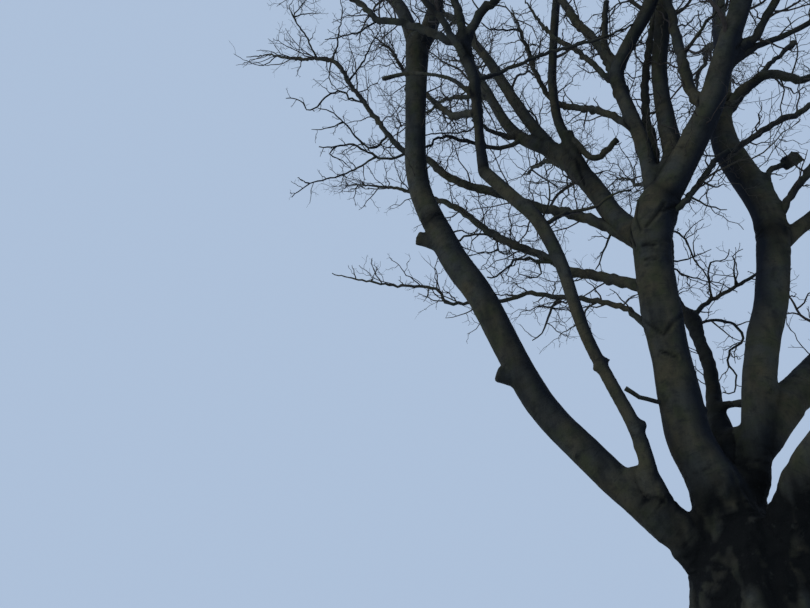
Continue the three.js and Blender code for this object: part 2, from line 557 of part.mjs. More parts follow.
function limbFrom(limb, parents, sides, collar, spacing) {
  const course = courseOf(limb, parents);
  const radiusAt = girthOf(limb.girth, course.length, collar);
  const rings = Math.max(3, Math.round(course.length / spacing));
  const solids = [0, GAP].map((grow) => {
    const pieces = [tube(course, radiusAt, sides, rings, grow)];
    for (const [distance, heading, rise, length, radius] of limb.stubs ?? []) {
      const root = course.at(distance).point;
      const stub = new Course(walk(root, [[length, heading, rise]]));
      pieces.push(tube(stub, (d) => radius * (1.15 - (0.15 * d) / length), 7, 1, grow));
    }
    return wasm.Manifold.union(pieces);
  });
  return { course, radiusAt, solid: solids[0], taken: solids[1], chain: chainOf(course, radiusAt) };
}

function toMesh(solid, name, material) {
  const { vertProperties, triVerts } = solid.getMesh();
  const geometry = new THREE.BufferGeometry();
  geometry.setAttribute('position', new THREE.BufferAttribute(vertProperties, 3));
  geometry.setIndex(new THREE.BufferAttribute(triVerts, 1));
  const mesh = new THREE.Mesh(geometry, material);
  mesh.name = name;
  return mesh;
}

// The tree is put together from the ground up: trunk, boughs, then the twig masses.
const group = new THREE.Group();
group.name = 'bare_winter_tree';
group.add(toMesh(trunkSolid(0), 'trunk', bark));
const taken = [trunkSolid(GAP)];

const boughs = new Map();
for (const bough of BOUGHS) {
  const limb = limbFrom(bough, boughs, bough.sides, bough.collar, BOUGH_RING_SPACING);
  boughs.set(bough.name, limb);
  group.add(toMesh(clearOf(limb.solid, taken), bough.name, bark));
  taken.push(limb.taken);
}

const stems = new Map();
for (const mass of MASSES) {
  stems.set(mass.name, limbFrom(mass, boughs, STEM_SIDES, 6, STEM_RING_SPACING));
}
for (const mass of MASSES) {
  const grown = growMass(mass, stems, boughs);
  group.add(toMesh(clearOf(grown, taken), mass.name, twigBark));
  taken.push(stems.get(mass.name).taken);
}

export default group;
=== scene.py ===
import itertools
import json
import math

import bmesh
import bpy
import numpy as np
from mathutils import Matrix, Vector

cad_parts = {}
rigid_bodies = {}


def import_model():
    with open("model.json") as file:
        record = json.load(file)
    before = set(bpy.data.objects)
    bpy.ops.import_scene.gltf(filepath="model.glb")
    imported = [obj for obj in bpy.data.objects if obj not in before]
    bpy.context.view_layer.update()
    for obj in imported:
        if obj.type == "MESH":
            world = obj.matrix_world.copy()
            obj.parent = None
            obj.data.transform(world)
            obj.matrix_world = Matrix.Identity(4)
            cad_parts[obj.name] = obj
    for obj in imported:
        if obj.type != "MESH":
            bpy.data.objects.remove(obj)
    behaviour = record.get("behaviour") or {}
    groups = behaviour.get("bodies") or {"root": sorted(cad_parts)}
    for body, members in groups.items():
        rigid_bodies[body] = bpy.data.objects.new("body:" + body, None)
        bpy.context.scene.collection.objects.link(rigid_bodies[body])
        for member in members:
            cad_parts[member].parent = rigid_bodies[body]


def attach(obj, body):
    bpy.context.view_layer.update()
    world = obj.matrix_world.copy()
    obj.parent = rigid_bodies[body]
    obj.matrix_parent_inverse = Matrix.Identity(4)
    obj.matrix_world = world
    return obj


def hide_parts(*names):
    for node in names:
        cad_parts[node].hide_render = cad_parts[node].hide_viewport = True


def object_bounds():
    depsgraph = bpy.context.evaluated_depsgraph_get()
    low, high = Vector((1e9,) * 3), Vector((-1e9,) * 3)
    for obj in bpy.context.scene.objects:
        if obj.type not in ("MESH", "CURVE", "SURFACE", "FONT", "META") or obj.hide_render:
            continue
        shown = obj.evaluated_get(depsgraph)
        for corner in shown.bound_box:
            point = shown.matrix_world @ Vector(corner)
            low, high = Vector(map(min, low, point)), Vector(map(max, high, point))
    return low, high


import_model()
cad_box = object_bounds()


# The trunk is one short, thick column of living wood on a lobed root flare, with a domed
# shoulder that the great boughs leave from. It grew in one piece with them, so its skin here is
# made first as a plain lathed form, by the source's rule, and fused with theirs further down.
TRUNK_RADIUS = 0.408
SHOULDER_HEIGHT = 1.38
TRUNK_LEAN = -0.02
ROOT_FLARE = 0.21
FLARE_HEIGHT = 0.23
ROOT_LOBES = 5
FLUTING = 0.014
TRUNK_SIDES = 96
TRUNK_RINGS = 60
# The bare dome of the skin is lower than the solid's, because the fused boughs cover it.
DOME_HEIGHT = 2.08


def trunk_radius(height, angle):
    flare = ROOT_FLARE * np.exp(-height / FLARE_HEIGHT)
    lobe = 1 + 0.5 * np.cos(ROOT_LOBES * angle + 0.6)
    fluting = FLUTING * np.cos(3 * angle + height / 0.6)
    rise = np.maximum(0, (height - SHOULDER_HEIGHT) / (DOME_HEIGHT - SHOULDER_HEIGHT))
    shoulder = np.sqrt(np.maximum(0, 1 - rise ** 2.4))
    return (TRUNK_RADIUS + fluting + flare * lobe) * shoulder


def ring_faces(count, places, sides):
    """The quads round a stack of closed tubes, and the caps at both of their ends."""
    corner = np.arange(sides)
    following = (corner + 1) % sides
    first = (np.arange(count) * places * sides)[:, None, None]
    low = first + (np.arange(places - 1) * sides)[None, :, None]
    high = low + sides
    quads = np.stack([low + corner, low + following, high + following, high + corner], axis=-1)
    foot = first[:, 0] + corner[::-1]
    tip = first[:, 0] + (places - 1) * sides + corner
    return quads.reshape(-1, 4), np.concatenate([foot, tip])


trunk_heights = DOME_HEIGHT * np.linspace(0, 1, TRUNK_RINGS) ** 1.15 * 0.998
trunk_angles = np.linspace(0, math.tau, TRUNK_SIDES, endpoint=False)
trunk_grid = trunk_radius(trunk_heights[:, None], trunk_angles[None, :])
trunk_points = np.stack([
    TRUNK_LEAN * trunk_heights[:, None] + trunk_grid * np.cos(trunk_angles),
    trunk_grid * np.sin(trunk_angles),
    np.broadcast_to(trunk_heights[:, None], trunk_grid.shape),
], axis=-1).reshape(-1, 3)
wood_forms = [(trunk_points, *ring_faces(1, TRUNK_RINGS, TRUNK_SIDES))]


# The boughs are long tapering limbs of smooth-barked wood, each grown out of the trunk or of
# another bough. They are walked run by run, as in the source, with the stubs that stay where a
# bough was pruned, and the knobs that smaller cuts healed to.
BOUGH_SIDES = 24
BOUGH_RING = 0.05
KNOB_SIDES = 12
STUB_LIP = 1.12
TIP = -0.001


def unit(vectors):
    return vectors / np.linalg.norm(vectors, axis=-1, keepdims=True)


def direction(heading, rise):
    level = math.cos(math.radians(rise))
    turn = math.radians(heading)
    return np.array([level * math.cos(turn), level * math.sin(turn), math.sin(math.radians(rise))])


def walk(start, runs):
    ends = [np.array(start, dtype=float)]
    for length, heading, rise in runs:
        ends.append(ends[-1] + length * direction(heading, rise))
    return ends


def smooth_lines(ends, steps):
    """Catmull-Rom lines through N rows of ends, with so many steps to each run."""
    before = 2 * ends[:, :1] - ends[:, 1:2]
    after = 2 * ends[:, -1:] - ends[:, -2:-1]
    knots = np.concatenate([before, ends, after], axis=1)
    share = (np.arange(steps) / steps)[None, None, :, None]
    p0, p1, p2, p3 = (knots[:, k:k + ends.shape[1] - 1, None] for k in range(4))
    curve = p1 + 0.5 * share * (
        p2 - p0 + share * (2 * p0 - 5 * p1 + 4 * p2 - p3 + share * (3 * (p1 - p2) + p3 - p0))
    )
    return np.concatenate([curve.reshape(len(ends), -1, 3), ends[:, -1:]], axis=1)


def carried_sides(lines):
    """The tangents of N lines, and a side direction carried along each without twist."""
    ahead = np.concatenate([
        lines[:, 1:2] - lines[:, :1],
        lines[:, 2:] - lines[:, :-2],
        lines[:, -1:] - lines[:, -2:-1],
    ], axis=1)
    ahead = unit(ahead)
    side = np.where(np.abs(ahead[:, 0, :1]) < 0.8, (1.0, 0.0, 0.0), (0.0, 0.0, 1.0))
    sides = np.empty_like(lines)
    for place in range(lines.shape[1]):
        across = (side * ahead[:, place]).sum(axis=-1, keepdims=True)
        side = unit(side - across * ahead[:, place])
        sides[:, place] = side
    return ahead, sides


class Course:
    """A smooth line through the ends of a limb's runs, measured by the distance along it."""

    def __init__(self, ends):
        self.points = smooth_lines(np.array([ends]), 8)[0]
        steps = np.linalg.norm(np.diff(self.points, axis=0), axis=1)
        self.distances = np.concatenate([[0], np.cumsum(steps)])
        self.length = self.distances[-1]
        ahead, sides = carried_sides(self.points[None])
        self.ahead, self.sides = ahead[0], sides[0]

    def at(self, distance):
        """Points, tangents and side directions at one or more distances."""
        index = np.clip(np.searchsorted(self.distances, distance) - 1, 0, len(self.points) - 2)
        span = self.distances[index + 1] - self.distances[index]
        share = np.expand_dims((distance - self.distances[index]) / span, -1)
        mix = np.clip(share, 0, 1)
        point = self.points[index] * (1 - share) + self.points[index + 1] * share
        tangent = unit(self.ahead[index] * (1 - mix) + self.ahead[index + 1] * mix)
        side = self.sides[index] * (1 - mix) + self.sides[index + 1] * mix
        side = side - (side * tangent).sum(axis=-1, keepdims=True) * tangent
        return point, tangent, unit(side)


def tubes(lines, radii, sides):
    """Closed round tubes along N lines, with a radius at each of their points."""
    ahead, side = carried_sides(lines)
    other = np.cross(ahead, side)
    turn = np.linspace(0, math.tau, sides, endpoint=False)[:, None]
    spokes = np.cos(turn) * side[:, :, None] + np.sin(turn) * other[:, :, None]
    points = lines[:, :, None] + radii[:, :, None, None] * spokes
    return (points.reshape(-1, 3), *ring_faces(*radii.shape, sides))


class Limb:
    """A limb's course, and its radius at a distance, with a collar where it leaves."""

    def __init__(self, notes, parents):
        self.notes = notes
        parent = parents.get(notes["parent"])
        if parent is None:
            ends = walk(notes["at"], notes["runs"])
        else:
            place = notes["at"] if notes["at"] >= 0 else parent.length + notes["at"] - TIP
            point, tangent, _ = parent.course.at(place)
            if "runs" in notes:
                ends = walk(point, notes["runs"])
            else:
                goal = np.array(notes["goal"], dtype=float)
                span = np.linalg.norm(goal - point)
                knee = point + 0.3 * (goal - point) + 0.14 * span * tangent
                elbow = point + 0.65 * (goal - point) + 0.07 * span * tangent
                ends = [point, knee, elbow, goal]
        self.course = Course(ends)
        self.length = self.course.length

    def radius(self, distance):
        girth = self.notes["girth"]
        steps = np.linspace(0, self.length, len(girth))
        collar = self.notes["collar"] * np.exp(-distance / (2.2 * girth[0]))
        return np.interp(distance, steps, girth) + collar


def limb_form(limb):
    """The closed tube of a whole limb, with a rounded end."""
    distances = np.linspace(0, limb.length, max(4, round(limb.length / BOUGH_RING)))
    line = limb.course.at(distances)[0]
    radii = limb.radius(distances)
    point, tangent, _ = limb.course.at(limb.length)
    domes = np.radians([25, 48, 68, 84])
    cap = point + radii[-1] * np.sin(domes)[:, None] * tangent
    line = np.concatenate([line, cap])
    radii = np.concatenate([radii, radii[-1] * np.cos(domes)])
    return tubes(line[None], radii[None], BOUGH_SIDES)


def stub_form(limb, stub):
    """A pruned stub, with the rounded lip of new bark that grows round the old cut."""
    place, heading, rise, length, radius = stub
    root = limb.course.at(place)[0]
    shares = np.array([0, 0.3, 0.6, 0.82, 0.93, 0.98, 0.985, 0.97])
    widths = np.array([1.2, 1.04, 1.0, 1.03, STUB_LIP, 1.02, 0.82, 0.6])
    line = root + (shares * length)[:, None] * direction(heading, rise)
    return tubes(line[None], radius * widths[None], BOUGH_SIDES)


def knob_form(limb, knob):
    """A small knob of overgrown wood, round at its end."""
    place, heading, rise, length, radius = knob
    shares = np.array([0, 0.5, 0.75, 0.9, 0.98, 1.0])
    widths = np.array([1.5, 1.2, 1.0, 0.75, 0.4, 0.1])
    line = limb.course.at(place)[0] + (shares * length)[:, None] * direction(heading, rise)
    return tubes(line[None], radius * widths[None], KNOB_SIDES)


def bridge_form(ends, widths):
    """Wood between limbs that have grown into each other: ends to pass through, and radii."""
    line = smooth_lines(np.array([ends]), 6)
    radii = np.interp(np.linspace(0, 1, line.shape[1]), np.linspace(0, 1, len(widths)), widths)
    return tubes(line, radii[None], BOUGH_SIDES)


boughs = {}


def grow_bough(name, parent, at, girth, runs, collar=0, stubs=(), knobs=()):
    """Adds a bough to the wood. A run is a length, a heading from +X towards +Y, and a rise from
    level. A negative place on the parent counts back from its tip, and TIP is the tip itself.
    A stub or a knob is a place along the bough, a heading, a rise, a length and a radius."""
    name = f"bough_{name}"
    parent = parent if parent == "trunk" else f"bough_{parent}"
    limb = Limb(dict(parent=parent, at=at, girth=girth, runs=runs, collar=collar), boughs)
    boughs[name] = limb
    wood_forms.append(limb_form(limb))
    wood_forms.extend(stub_form(limb, stub) for stub in stubs)
    wood_forms.extend(knob_form(limb, knob) for knob in knobs)


grow_bough(
    "left_lower", "trunk", (-0.16, 0.02, 1.665),
    girth=(0.176, 0.134, 0.112, 0.11, 0.111, 0.112, 0.114, 0.115, 0.116, 0.112),
    runs=[(0.385, -162, 54), (0.235, -170, 45), (0.275, -174, 46), (0.36, -172, 50),
          (0.42, -173, 54), (0.49, -166, 66), (0.49, -163, 69), (0.48, -170, 62), (0.46, -170, 68)],
    stubs=[(1.85, -153, 20, 0.25, 0.057), (3.28, -155, 23, 0.29, 0.056)],
    knobs=[(2.62, -20, 20, 0.13, 0.028), (1.2, -120, -20, 0.13, 0.03)],
)
grow_bough(
    "left_upper", "left_lower", TIP,
    girth=(0.112, 0.107, 0.102, 0.105, 0.111, 0.128),
    runs=[(0.29, -174, 70), (0.25, -170, 78), (0.35, -122, 86), (0.6, -53, 84), (0.68, -50, 81)],
    knobs=[(1.0, -60, 30, 0.12, 0.024), (1.6, -150, 10, 0.13, 0.026)],
)
grow_bough(
    "left_prong_outer", "left_upper", -0.16,
    girth=(0.08, 0.075, 0.066, 0.058, 0.046),
    runs=[(0.62, -173, 79), (0.48, 174, 69), (0.7, 165, 62), (0.6, 160, 66)],
)
grow_bough(
    "left_prong_inner", "left_upper", -0.16,
    girth=(0.09, 0.086, 0.078, 0.064, 0.048),
    runs=[(0.44, -10, 63), (0.25, -25, 73), (0.7, -60, 70), (0.6, -75, 72)],
)
grow_bough(
    "front_left_lower", "left_lower", 0.67, collar=0.024,
    girth=(0.054, 0.05, 0.045, 0.046, 0.048, 0.055, 0.056, 0.052),
    runs=[(0.21, -67, 53), (0.18, -94, 77), (0.2, -134, 74), (0.28, -145, 68), (0.33, -148, 70),
          (0.31, -131, 75), (0.34, -144, 79), (0.39, -157, 71), (0.28, -162, 54), (0.37, -164, 54)],
    knobs=[(0.53, 28, 30, 0.085, 0.036), (0.39, -152, 15, 0.075, 0.016),
           (0.97, -152, 5, 0.085, 0.02), (1.0, 28, 40, 0.085, 0.022), (1.9, -150, 10, 0.075, 0.016),
           (2.4, 30, 30, 0.075, 0.018)],
)
grow_bough(
    "front_left_upper", "front_left_lower", TIP,
    girth=(0.05, 0.042, 0.047, 0.052, 0.064),
    runs=[(0.26, -93, 81), (0.33, -75, 79), (0.3, -77, 78), (0.23, -135, 76), (0.27, -101, 81)],
    knobs=[(0.25, 30, 10, 0.065, 0.018), (1.16, -152, 10, 0.085, 0.018),
           (1.34, 28, 20, 0.1, 0.022)],
)
grow_bough(
    "pruned_left", "front_left_upper", 0.7, collar=0.006,
    girth=(0.025, 0.022, 0.019, 0.021, 0.025),
    runs=[(0.31, -157, 51), (0.27, -170, 33), (0.24, -174, 23), (0.22, -175, 8)],
)
grow_bough(
    "centre", "trunk", (-0.06, -0.01, 1.98),
    girth=(0.172, 0.156, 0.14, 0.134, 0.139, 0.138, 0.156),
    runs=[(0.36, -165, 72), (0.28, -165, 73), (0.27, -139, 87), (0.29, -84, 84), (0.29, -95, 84),
          (0.32, -71, 84), (0.31, -51, 81), (0.3, -13, 71)],
    knobs=[(1.65, -152, 30, 0.16, 0.022), (0.8, 0, 10, 0.16, 0.03)],
)
grow_bough(
    "centre_left", "centre", -0.06, collar=0.01,
    girth=(0.066, 0.061, 0.058, 0.06, 0.058, 0.058, 0.057, 0.054, 0.05, 0.046),
    runs=[(0.42, -62, 86), (0.19, -104, 85), (0.24, -143, 82), (0.25, -152, 80), (0.25, -114, 82),
          (0.17, -23, 63), (0.18, -20, 49), (0.32, -25, 45), (0.5, -35, 60), (0.5, -50, 62),
          (0.7, -60, 68)],
)
grow_bough(
    "centre_right", "centre", -0.06,
    girth=(0.118, 0.106, 0.092, 0.08, 0.072, 0.066, 0.061, 0.056, 0.05),
    runs=[(0.36, -20, 48), (0.26, -27, 47), (0.23, -27, 48), (0.23, -35, 58), (0.26, -34, 56),
          (0.29, -36, 54), (0.5, -40, 55), (0.5, -45, 58), (0.7, -40, 62)],
    knobs=[(0.6, -150, 40, 0.11, 0.024), (1.7, 60, 30, 0.09, 0.02)],
)
grow_bough(
    "centre_back", "centre", -0.06, collar=0.008,
    girth=(0.092, 0.078, 0.065, 0.065, 0.07, 0.068, 0.062, 0.054, 0.046),
    runs=[(0.45, -7, 65), (0.31, 43, 84), (0.31, -14, 88), (0.33, 1, 84), (0.3, -16, 76),
          (0.41, -22, 75), (0.5, 60, 78), (0.9, 20, 82), (0.8, 60, 78)],
    knobs=[(0.9, -150, 10, 0.085, 0.02), (1.7, 20, 30, 0.085, 0.02)],
)
grow_bough(
    "left_rear", "centre", 2.08, collar=0.01,
    girth=(0.092, 0.09, 0.089, 0.089, 0.088),
    runs=[(0.56, 141, 56), (0.31, 141, 67), (0.32, 144, 65), (0.35, 150, 62), (0.31, 160, 56)],
)
grow_bough(
    "left_rear_outer", "left_rear", -0.09,
    girth=(0.07, 0.062, 0.061, 0.061, 0.058, 0.055, 0.05),
    runs=[(0.65, 150, 65), (0.45, 159, 69), (0.43, 163, 71), (0.59, 156, 70), (0.71, 159, 67)],
)
grow_bough(
    "left_rear_inner", "left_rear", -0.09,
    girth=(0.066, 0.061, 0.055, 0.052, 0.049, 0.047),
    runs=[(0.46, 166, 48), (0.37, 161, 59), (0.42, 150, 68), (0.42, 141, 68), (0.61, 131, 64),
          (0.7, 126, 64)],
)
grow_bough(
    "upright", "left_rear", 1, collar=0.01,
    girth=(0.056, 0.052, 0.046, 0.045, 0.045, 0.045, 0.042),
    runs=[(0.72, 154, 74), (0.29, 178, 78), (0.33, -179, 89), (0.33, 0, 86), (0.98, 0, 81),
          (0.8, 40, 76)],
)
grow_bough(
    "right_lower", "trunk", (-0.075, 0.04, 1.98),
    girth=(0.1, 0.096, 0.103, 0.109, 0.111, 0.116),
    runs=[(0.523, 6, 69.2), (0.38, 11, 74), (0.22, 30, 74), (0.27, 25, 70), (0.25, 24, 66),
          (0.3, 24, 72), (0.32, 29, 75)],
    knobs=[(1.3, -150, 10, 0.125, 0.03), (0.95, -60, 0, 0.125, 0.03)],
)
grow_bough(
    "right_upper", "right_lower", TIP,
    girth=(0.114, 0.116, 0.112, 0.092, 0.083, 0.076, 0.07, 0.063, 0.056),
    runs=[(0.25, 72, 80), (0.26, 131, 78), (0.26, 140, 76), (0.29, 135, 79), (0.32, 66, 82),
          (0.37, 26, 76), (0.6, 50, 72), (0.6, 70, 68), (0.8, 60, 70)],
    knobs=[(0.9, -60, 20, 0.12, 0.026), (0.35, 20, 30, 0.14, 0.03)],
)
grow_bough(
    "right_outer", "right_lower", -0.16, collar=0.012,
    girth=(0.058, 0.054, 0.052, 0.05, 0.046),
    runs=[(0.31, 29, 41), (0.19, 21, 35), (0.6, 24, 38), (0.6, 34, 48), (0.8, 36, 58),
          (0.8, 30, 62)],
)
grow_bough(
    "right_rear", "trunk", (-0.06, 0.03, 2),
    girth=(0.092, 0.098, 0.118, 0.12, 0.104, 0.086, 0.072, 0.06, 0.05),
    runs=[(0.507, 13, 69.7), (0.29, 27, 54), (0.23, 37, 42), (0.2, 39, 34), (0.7, 50, 36),
          (0.7, 46, 44), (0.7, 42, 52), (0.7, 40, 58)],
    knobs=[(0.9, -60, 30, 0.14, 0.03)],
)
grow_bough(
    "right_front", "trunk", (0.02, -0.07, 1.7),
    girth=(0.15, 0.132, 0.112, 0.102, 0.092, 0.082, 0.07, 0.058, 0.05),
    runs=[(0.26, -30, 55), (0.24, -35, 56), (0.26, -36, 52), (0.8, -34, 41), (0.8, -28, 48),
          (0.8, -30, 58), (0.8, -26, 62)],
    knobs=[(1.1, -120, 20, 0.12, 0.028), (2.3, 60, 30, 0.09, 0.022)],
)
grow_bough(
    "right_low", "trunk", (0.06, 0, 1.6),
    girth=(0.11, 0.093, 0.09, 0.084, 0.076, 0.068, 0.06, 0.05),
    runs=[(0.26, -4, 36), (0.15, 0, 26), (0.6, 4, 30), (0.7, 8, 40), (0.7, 2, 50), (0.6, -4, 58),
          (0.6, 0, 60)],
)
grow_bough(
    "rear", "trunk", (-0.02, 0.06, 2.15),
    girth=(0.1, 0.092, 0.054, 0.05, 0.046, 0.043, 0.043, 0.044, 0.042),
    runs=[(0.41, 105, 75), (0.34, 94, 58), (0.24, 84, 65), (0.23, 82, 64), (0.32, 100, 60),
          (0.32, 107, 59), (0.6, 107, 55), (0.7, 80, 60), (0.7, 84, 64)],
    knobs=[(1.32, -150, 10, 0.068, 0.02), (0.95, 30, 10, 0.07, 0.02), (1.62, -152, 0, 0.064, 0.02),
           (1.72, 30, 20, 0.075, 0.026), (1.9, 10, 40, 0.085, 0.03)],
)


def on_bough(name, distance, shift=(0, 0, 0)):
    return boughs[f"bough_{name}"].course.at(distance)[0] + np.array(shift)


def flow_form(turns, radii, heights, widths):
    """Wood that flows from a bough's foot down the trunk, each end by its turn round the trunk."""
    turns = np.radians(turns)
    line = np.stack([radii * np.cos(turns), radii * np.sin(turns), heights], axis=-1)
    return bridge_form(line, widths)


# Limbs that press together have grown into one another, in saddles, webs and swellings, a bar
# over the small oval gap, and the long feet of the front and centre boughs. Below each great
# bough its wood flows down the trunk as a low ridge.
wood_forms += [
    bridge_form([(-0.05, 0.1, 1.9), (-0.06, 0.2, 2.25), (-0.01, 0.24, 2.5)], (0.19, 0.17, 0.1)),
    bridge_form([on_bough("rear", 0.4), (0.03, 0.15, 2.61), on_bough("right_lower", 0.6)],
                (0.08, 0.085, 0.08)),
    bridge_form([on_bough("rear", 0.86), (-0.01, 0.29, 2.885), (0.08, 0.2, 2.86),
                 on_bough("right_lower", 0.88)], (0.034, 0.029, 0.029, 0.034)),
    bridge_form([on_bough("front_left_lower", 0.42),
                 on_bough("front_left_lower", 0.14, (0.03, 0, 0)),
                 on_bough("left_lower", 0.46, (0, -0.03, 0.05)),
                 on_bough("left_lower", 0.12, (0, 0, 0.06))], (0.03, 0.066, 0.084, 0.096)),
    bridge_form([(-0.7, -0.12, 2.38), (-0.63, -0.15, 2.385), (-0.55, -0.19, 2.39)],
                (0.05, 0.05, 0.045)),
    bridge_form([on_bough("right_rear", 0.45),
                 on_bough("right_rear", 0.64, (0.02, 0, -0.03)),
                 on_bough("right_rear", 0.95, (0.02, 0, -0.01))], (0.07, 0.092, 0.108)),
    bridge_form([on_bough("rear", 1.6), on_bough("rear", 1.84, (0.03, 0, 0)),
                 on_bough("rear", 2.05)], (0.046, 0.07, 0.044)),
    bridge_form([(-0.2, -0.05, 2.46), (-0.2, -0.06, 2.2), (-0.18, -0.06, 1.98)],
                (0.1, 0.128, 0.124)),
    flow_form((-100, -100, -100, -101, -102, -103), (0.07, 0.18, 0.27, 0.32, 0.34, 0.35),
              (2.02, 1.92, 1.8, 1.65, 1.4, 1.15), (0.12, 0.12, 0.11, 0.1, 0.08, 0.05)),
    flow_form((-42, -43, -47, -50), (0.27, 0.31, 0.33, 0.34), (2.0, 1.75, 1.45, 1.1),
              (0.13, 0.115, 0.095, 0.05)),
    flow_form((-165, -163, -160), (0.26, 0.28, 0.31), (1.62, 1.35, 1.0), (0.1, 0.09, 0.05)),
    flow_form((-2, -2, 2), (0.27, 0.32, 0.35), (1.78, 1.5, 1.1), (0.13, 0.105, 0.05)),
    flow_form((45, 44, 40), (0.22, 0.31, 0.34), (2.05, 1.65, 1.2), (0.13, 0.11, 0.05)),
    flow_form((102, 104, 108), (0.2, 0.31, 0.34), (2.15, 1.7, 1.2), (0.12, 0.11, 0.05)),
    flow_form((160, 158, 155), (0.22, 0.31, 0.34), (1.95, 1.6, 1.15), (0.13, 0.11, 0.05)),
]


# The slender limbs are the same wood, and carry the twigs. Each leaves a bough, along its own
# runs where the photo shows it, or out to its goal in the crown, and thins to a twig.
STEM_COLLAR = 0.006
STEM_SIDES = 10
STEM_RING = 0.045
STEM_ROOT = 0.3
STEM_WOBBLE = 0.006
ROOTED_RADIUS = 0.018
FIRST_SEED = 11
stems = {}


def grow_stem(name, parent, at, reach, girth, twigs=7, **course):
    """Adds a slender limb. Reach is its longest twig, and twigs is how many the source grows on
    it. Its seed is the source's too: one more than the last limb's."""
    notes = dict(parent=f"bough_{parent}", at=at, girth=girth, collar=STEM_COLLAR, **course)
    notes.update(reach=reach, twigs=twigs, seed=FIRST_SEED + len(stems))
    stems[f"twigs_{name}"] = Limb(notes, boughs)


grow_stem("left_far", "centre", 2, 0.9, twigs=12,
    girth=(0.046, 0.045, 0.042, 0.041, 0.037, 0.03, 0.027, 0.026, 0.024, 0.018, 0.012, 0.005),
    runs=[(0.54, 146, 53), (0.4, 168, 42), (0.45, 177, 32), (0.38, 180, 39), (0.31, -174, 30),
          (0.33, -173, 41), (0.31, -174, 54), (0.34, -173, 38), (0.34, -171, 57), (0.58, -167, 62),
          (0.43, -172, 60), (0.53, -168, 63), (0.7, 178, 32), (0.7, 176, 36), (0.5, 178, 26)])
grow_stem("left_middle", "centre", 1.74, 0.8, twigs=9,
    girth=(0.046, 0.044, 0.038, 0.037, 0.034, 0.03, 0.025, 0.018, 0.011, 0.005),
    runs=[(0.23, 147, 32), (0.35, 153, 35), (0.28, 164, 30), (0.31, 172, 46), (0.6, 175, 40),
          (0.49, 176, 51), (0.38, 176, 43), (0.6, 172, 36), (0.6, 176, 28), (0.4, 178, 22)])
grow_stem("left_low", "centre", 1.3, 0.64, twigs=9,
    girth=(0.036, 0.023, 0.021, 0.02, 0.018, 0.015, 0.014, 0.012, 0.009, 0.005),
    runs=[(0.43, 161, 56), (0.3, 153, 34), (0.45, 172, 25), (0.19, 176, 24), (0.18, 180, -5),
          (0.37, -175, 5), (0.23, -175, 11), (0.2, -170, 59), (0.43, -174, 16), (0.45, -175, 21),
          (0.35, 178, 24)])
grow_stem("left_crossing", "front_left_upper", 0.56, 0.8, twigs=8,
    girth=(0.034, 0.031, 0.026, 0.025, 0.025, 0.02, 0.012, 0.005),
    runs=[(0.31, 138, 41), (0.24, 149, 35), (0.79, 140, 54), (1.01, 151, 59), (0.58, 168, 67),
          (0.6, 170, 58)])
grow_stem("left_prong_outer", "left_prong_outer", TIP, 1.15,
    girth=(0.048, 0.034, 0.02, 0.007), goal=(-3.95, -0.7, 10.3))
grow_stem("left_prong_inner", "left_prong_inner", TIP, 1.15,
    girth=(0.048, 0.034, 0.02, 0.007), goal=(-2.1, -2.6, 10.3))
grow_stem("left_prong_side", "left_prong_outer", 1.1, 1.1,
    girth=(0.034, 0.026, 0.016, 0.006), goal=(-4, -1.9, 8.9))
grow_stem("front_left", "front_left_upper", -0.05, 1,
    girth=(0.038, 0.034, 0.027, 0.018, 0.007),
    runs=[(0.49, -125, 82), (0.5, -135, 70), (0.6, -125, 62), (0.7, -118, 60)])
grow_stem("front_crossing", "front_left_upper", -0.07, 1,
    girth=(0.04, 0.036, 0.029, 0.02, 0.007),
    runs=[(0.34, -14, 43), (0.11, -9, 4), (0.5, -25, 40), (0.6, -35, 50), (0.6, -40, 56)])
grow_stem("front_left_outer", "front_left_upper", -0.1, 0.85, twigs=9,
    girth=(0.036, 0.034, 0.03, 0.027, 0.019, 0.007),
    runs=[(0.26, -163, 34), (0.54, -173, 44), (0.28, -175, 33), (0.46, -173, 58), (0.5, -170, 45),
          (0.6, 175, 42)])
grow_stem("front_left_forward", "front_left_upper", -0.3, 1,
    girth=(0.032, 0.026, 0.018, 0.006), goal=(-2.6, -3.5, 8))
grow_stem("rear_left_outer", "left_rear_outer", TIP, 1.2,
    girth=(0.052, 0.038, 0.022, 0.007), goal=(-3, 1.3, 10.9))
grow_stem("rear_left_inner", "left_rear_inner", TIP, 1.2,
    girth=(0.045, 0.034, 0.02, 0.007), goal=(-2.7, 3.4, 9.6))
grow_stem("rear_left_side", "left_rear_inner", 1.5, 1,
    girth=(0.034, 0.026, 0.016, 0.006), goal=(-3.6, 1.9, 8.3))
grow_stem("rear_left_low", "left_rear", 0.9, 1,
    girth=(0.04, 0.03, 0.018, 0.006), goal=(-1.9, 2.7, 7.3))
grow_stem("centre_slender", "centre", -0.06, 0.6, twigs=6,
    girth=(0.033, 0.032, 0.034, 0.033, 0.031, 0.027, 0.019, 0.007),
    runs=[(0.58, 45, 79), (0.34, 98, 87), (0.27, 3, 85), (0.27, 0, 79), (0.44, 0, 75),
          (0.27, 0, 73), (0.5, 10, 76), (0.5, 30, 72)])
grow_stem("centre_left", "centre_left", 1.18, 0.7,
    girth=(0.042, 0.04, 0.039, 0.036, 0.028, 0.018, 0.007),
    runs=[(0.58, 138, 80), (0.25, 148, 72), (0.45, 157, 70), (0.37, 154, 76), (0.7, 150, 70),
          (0.7, 140, 72)])
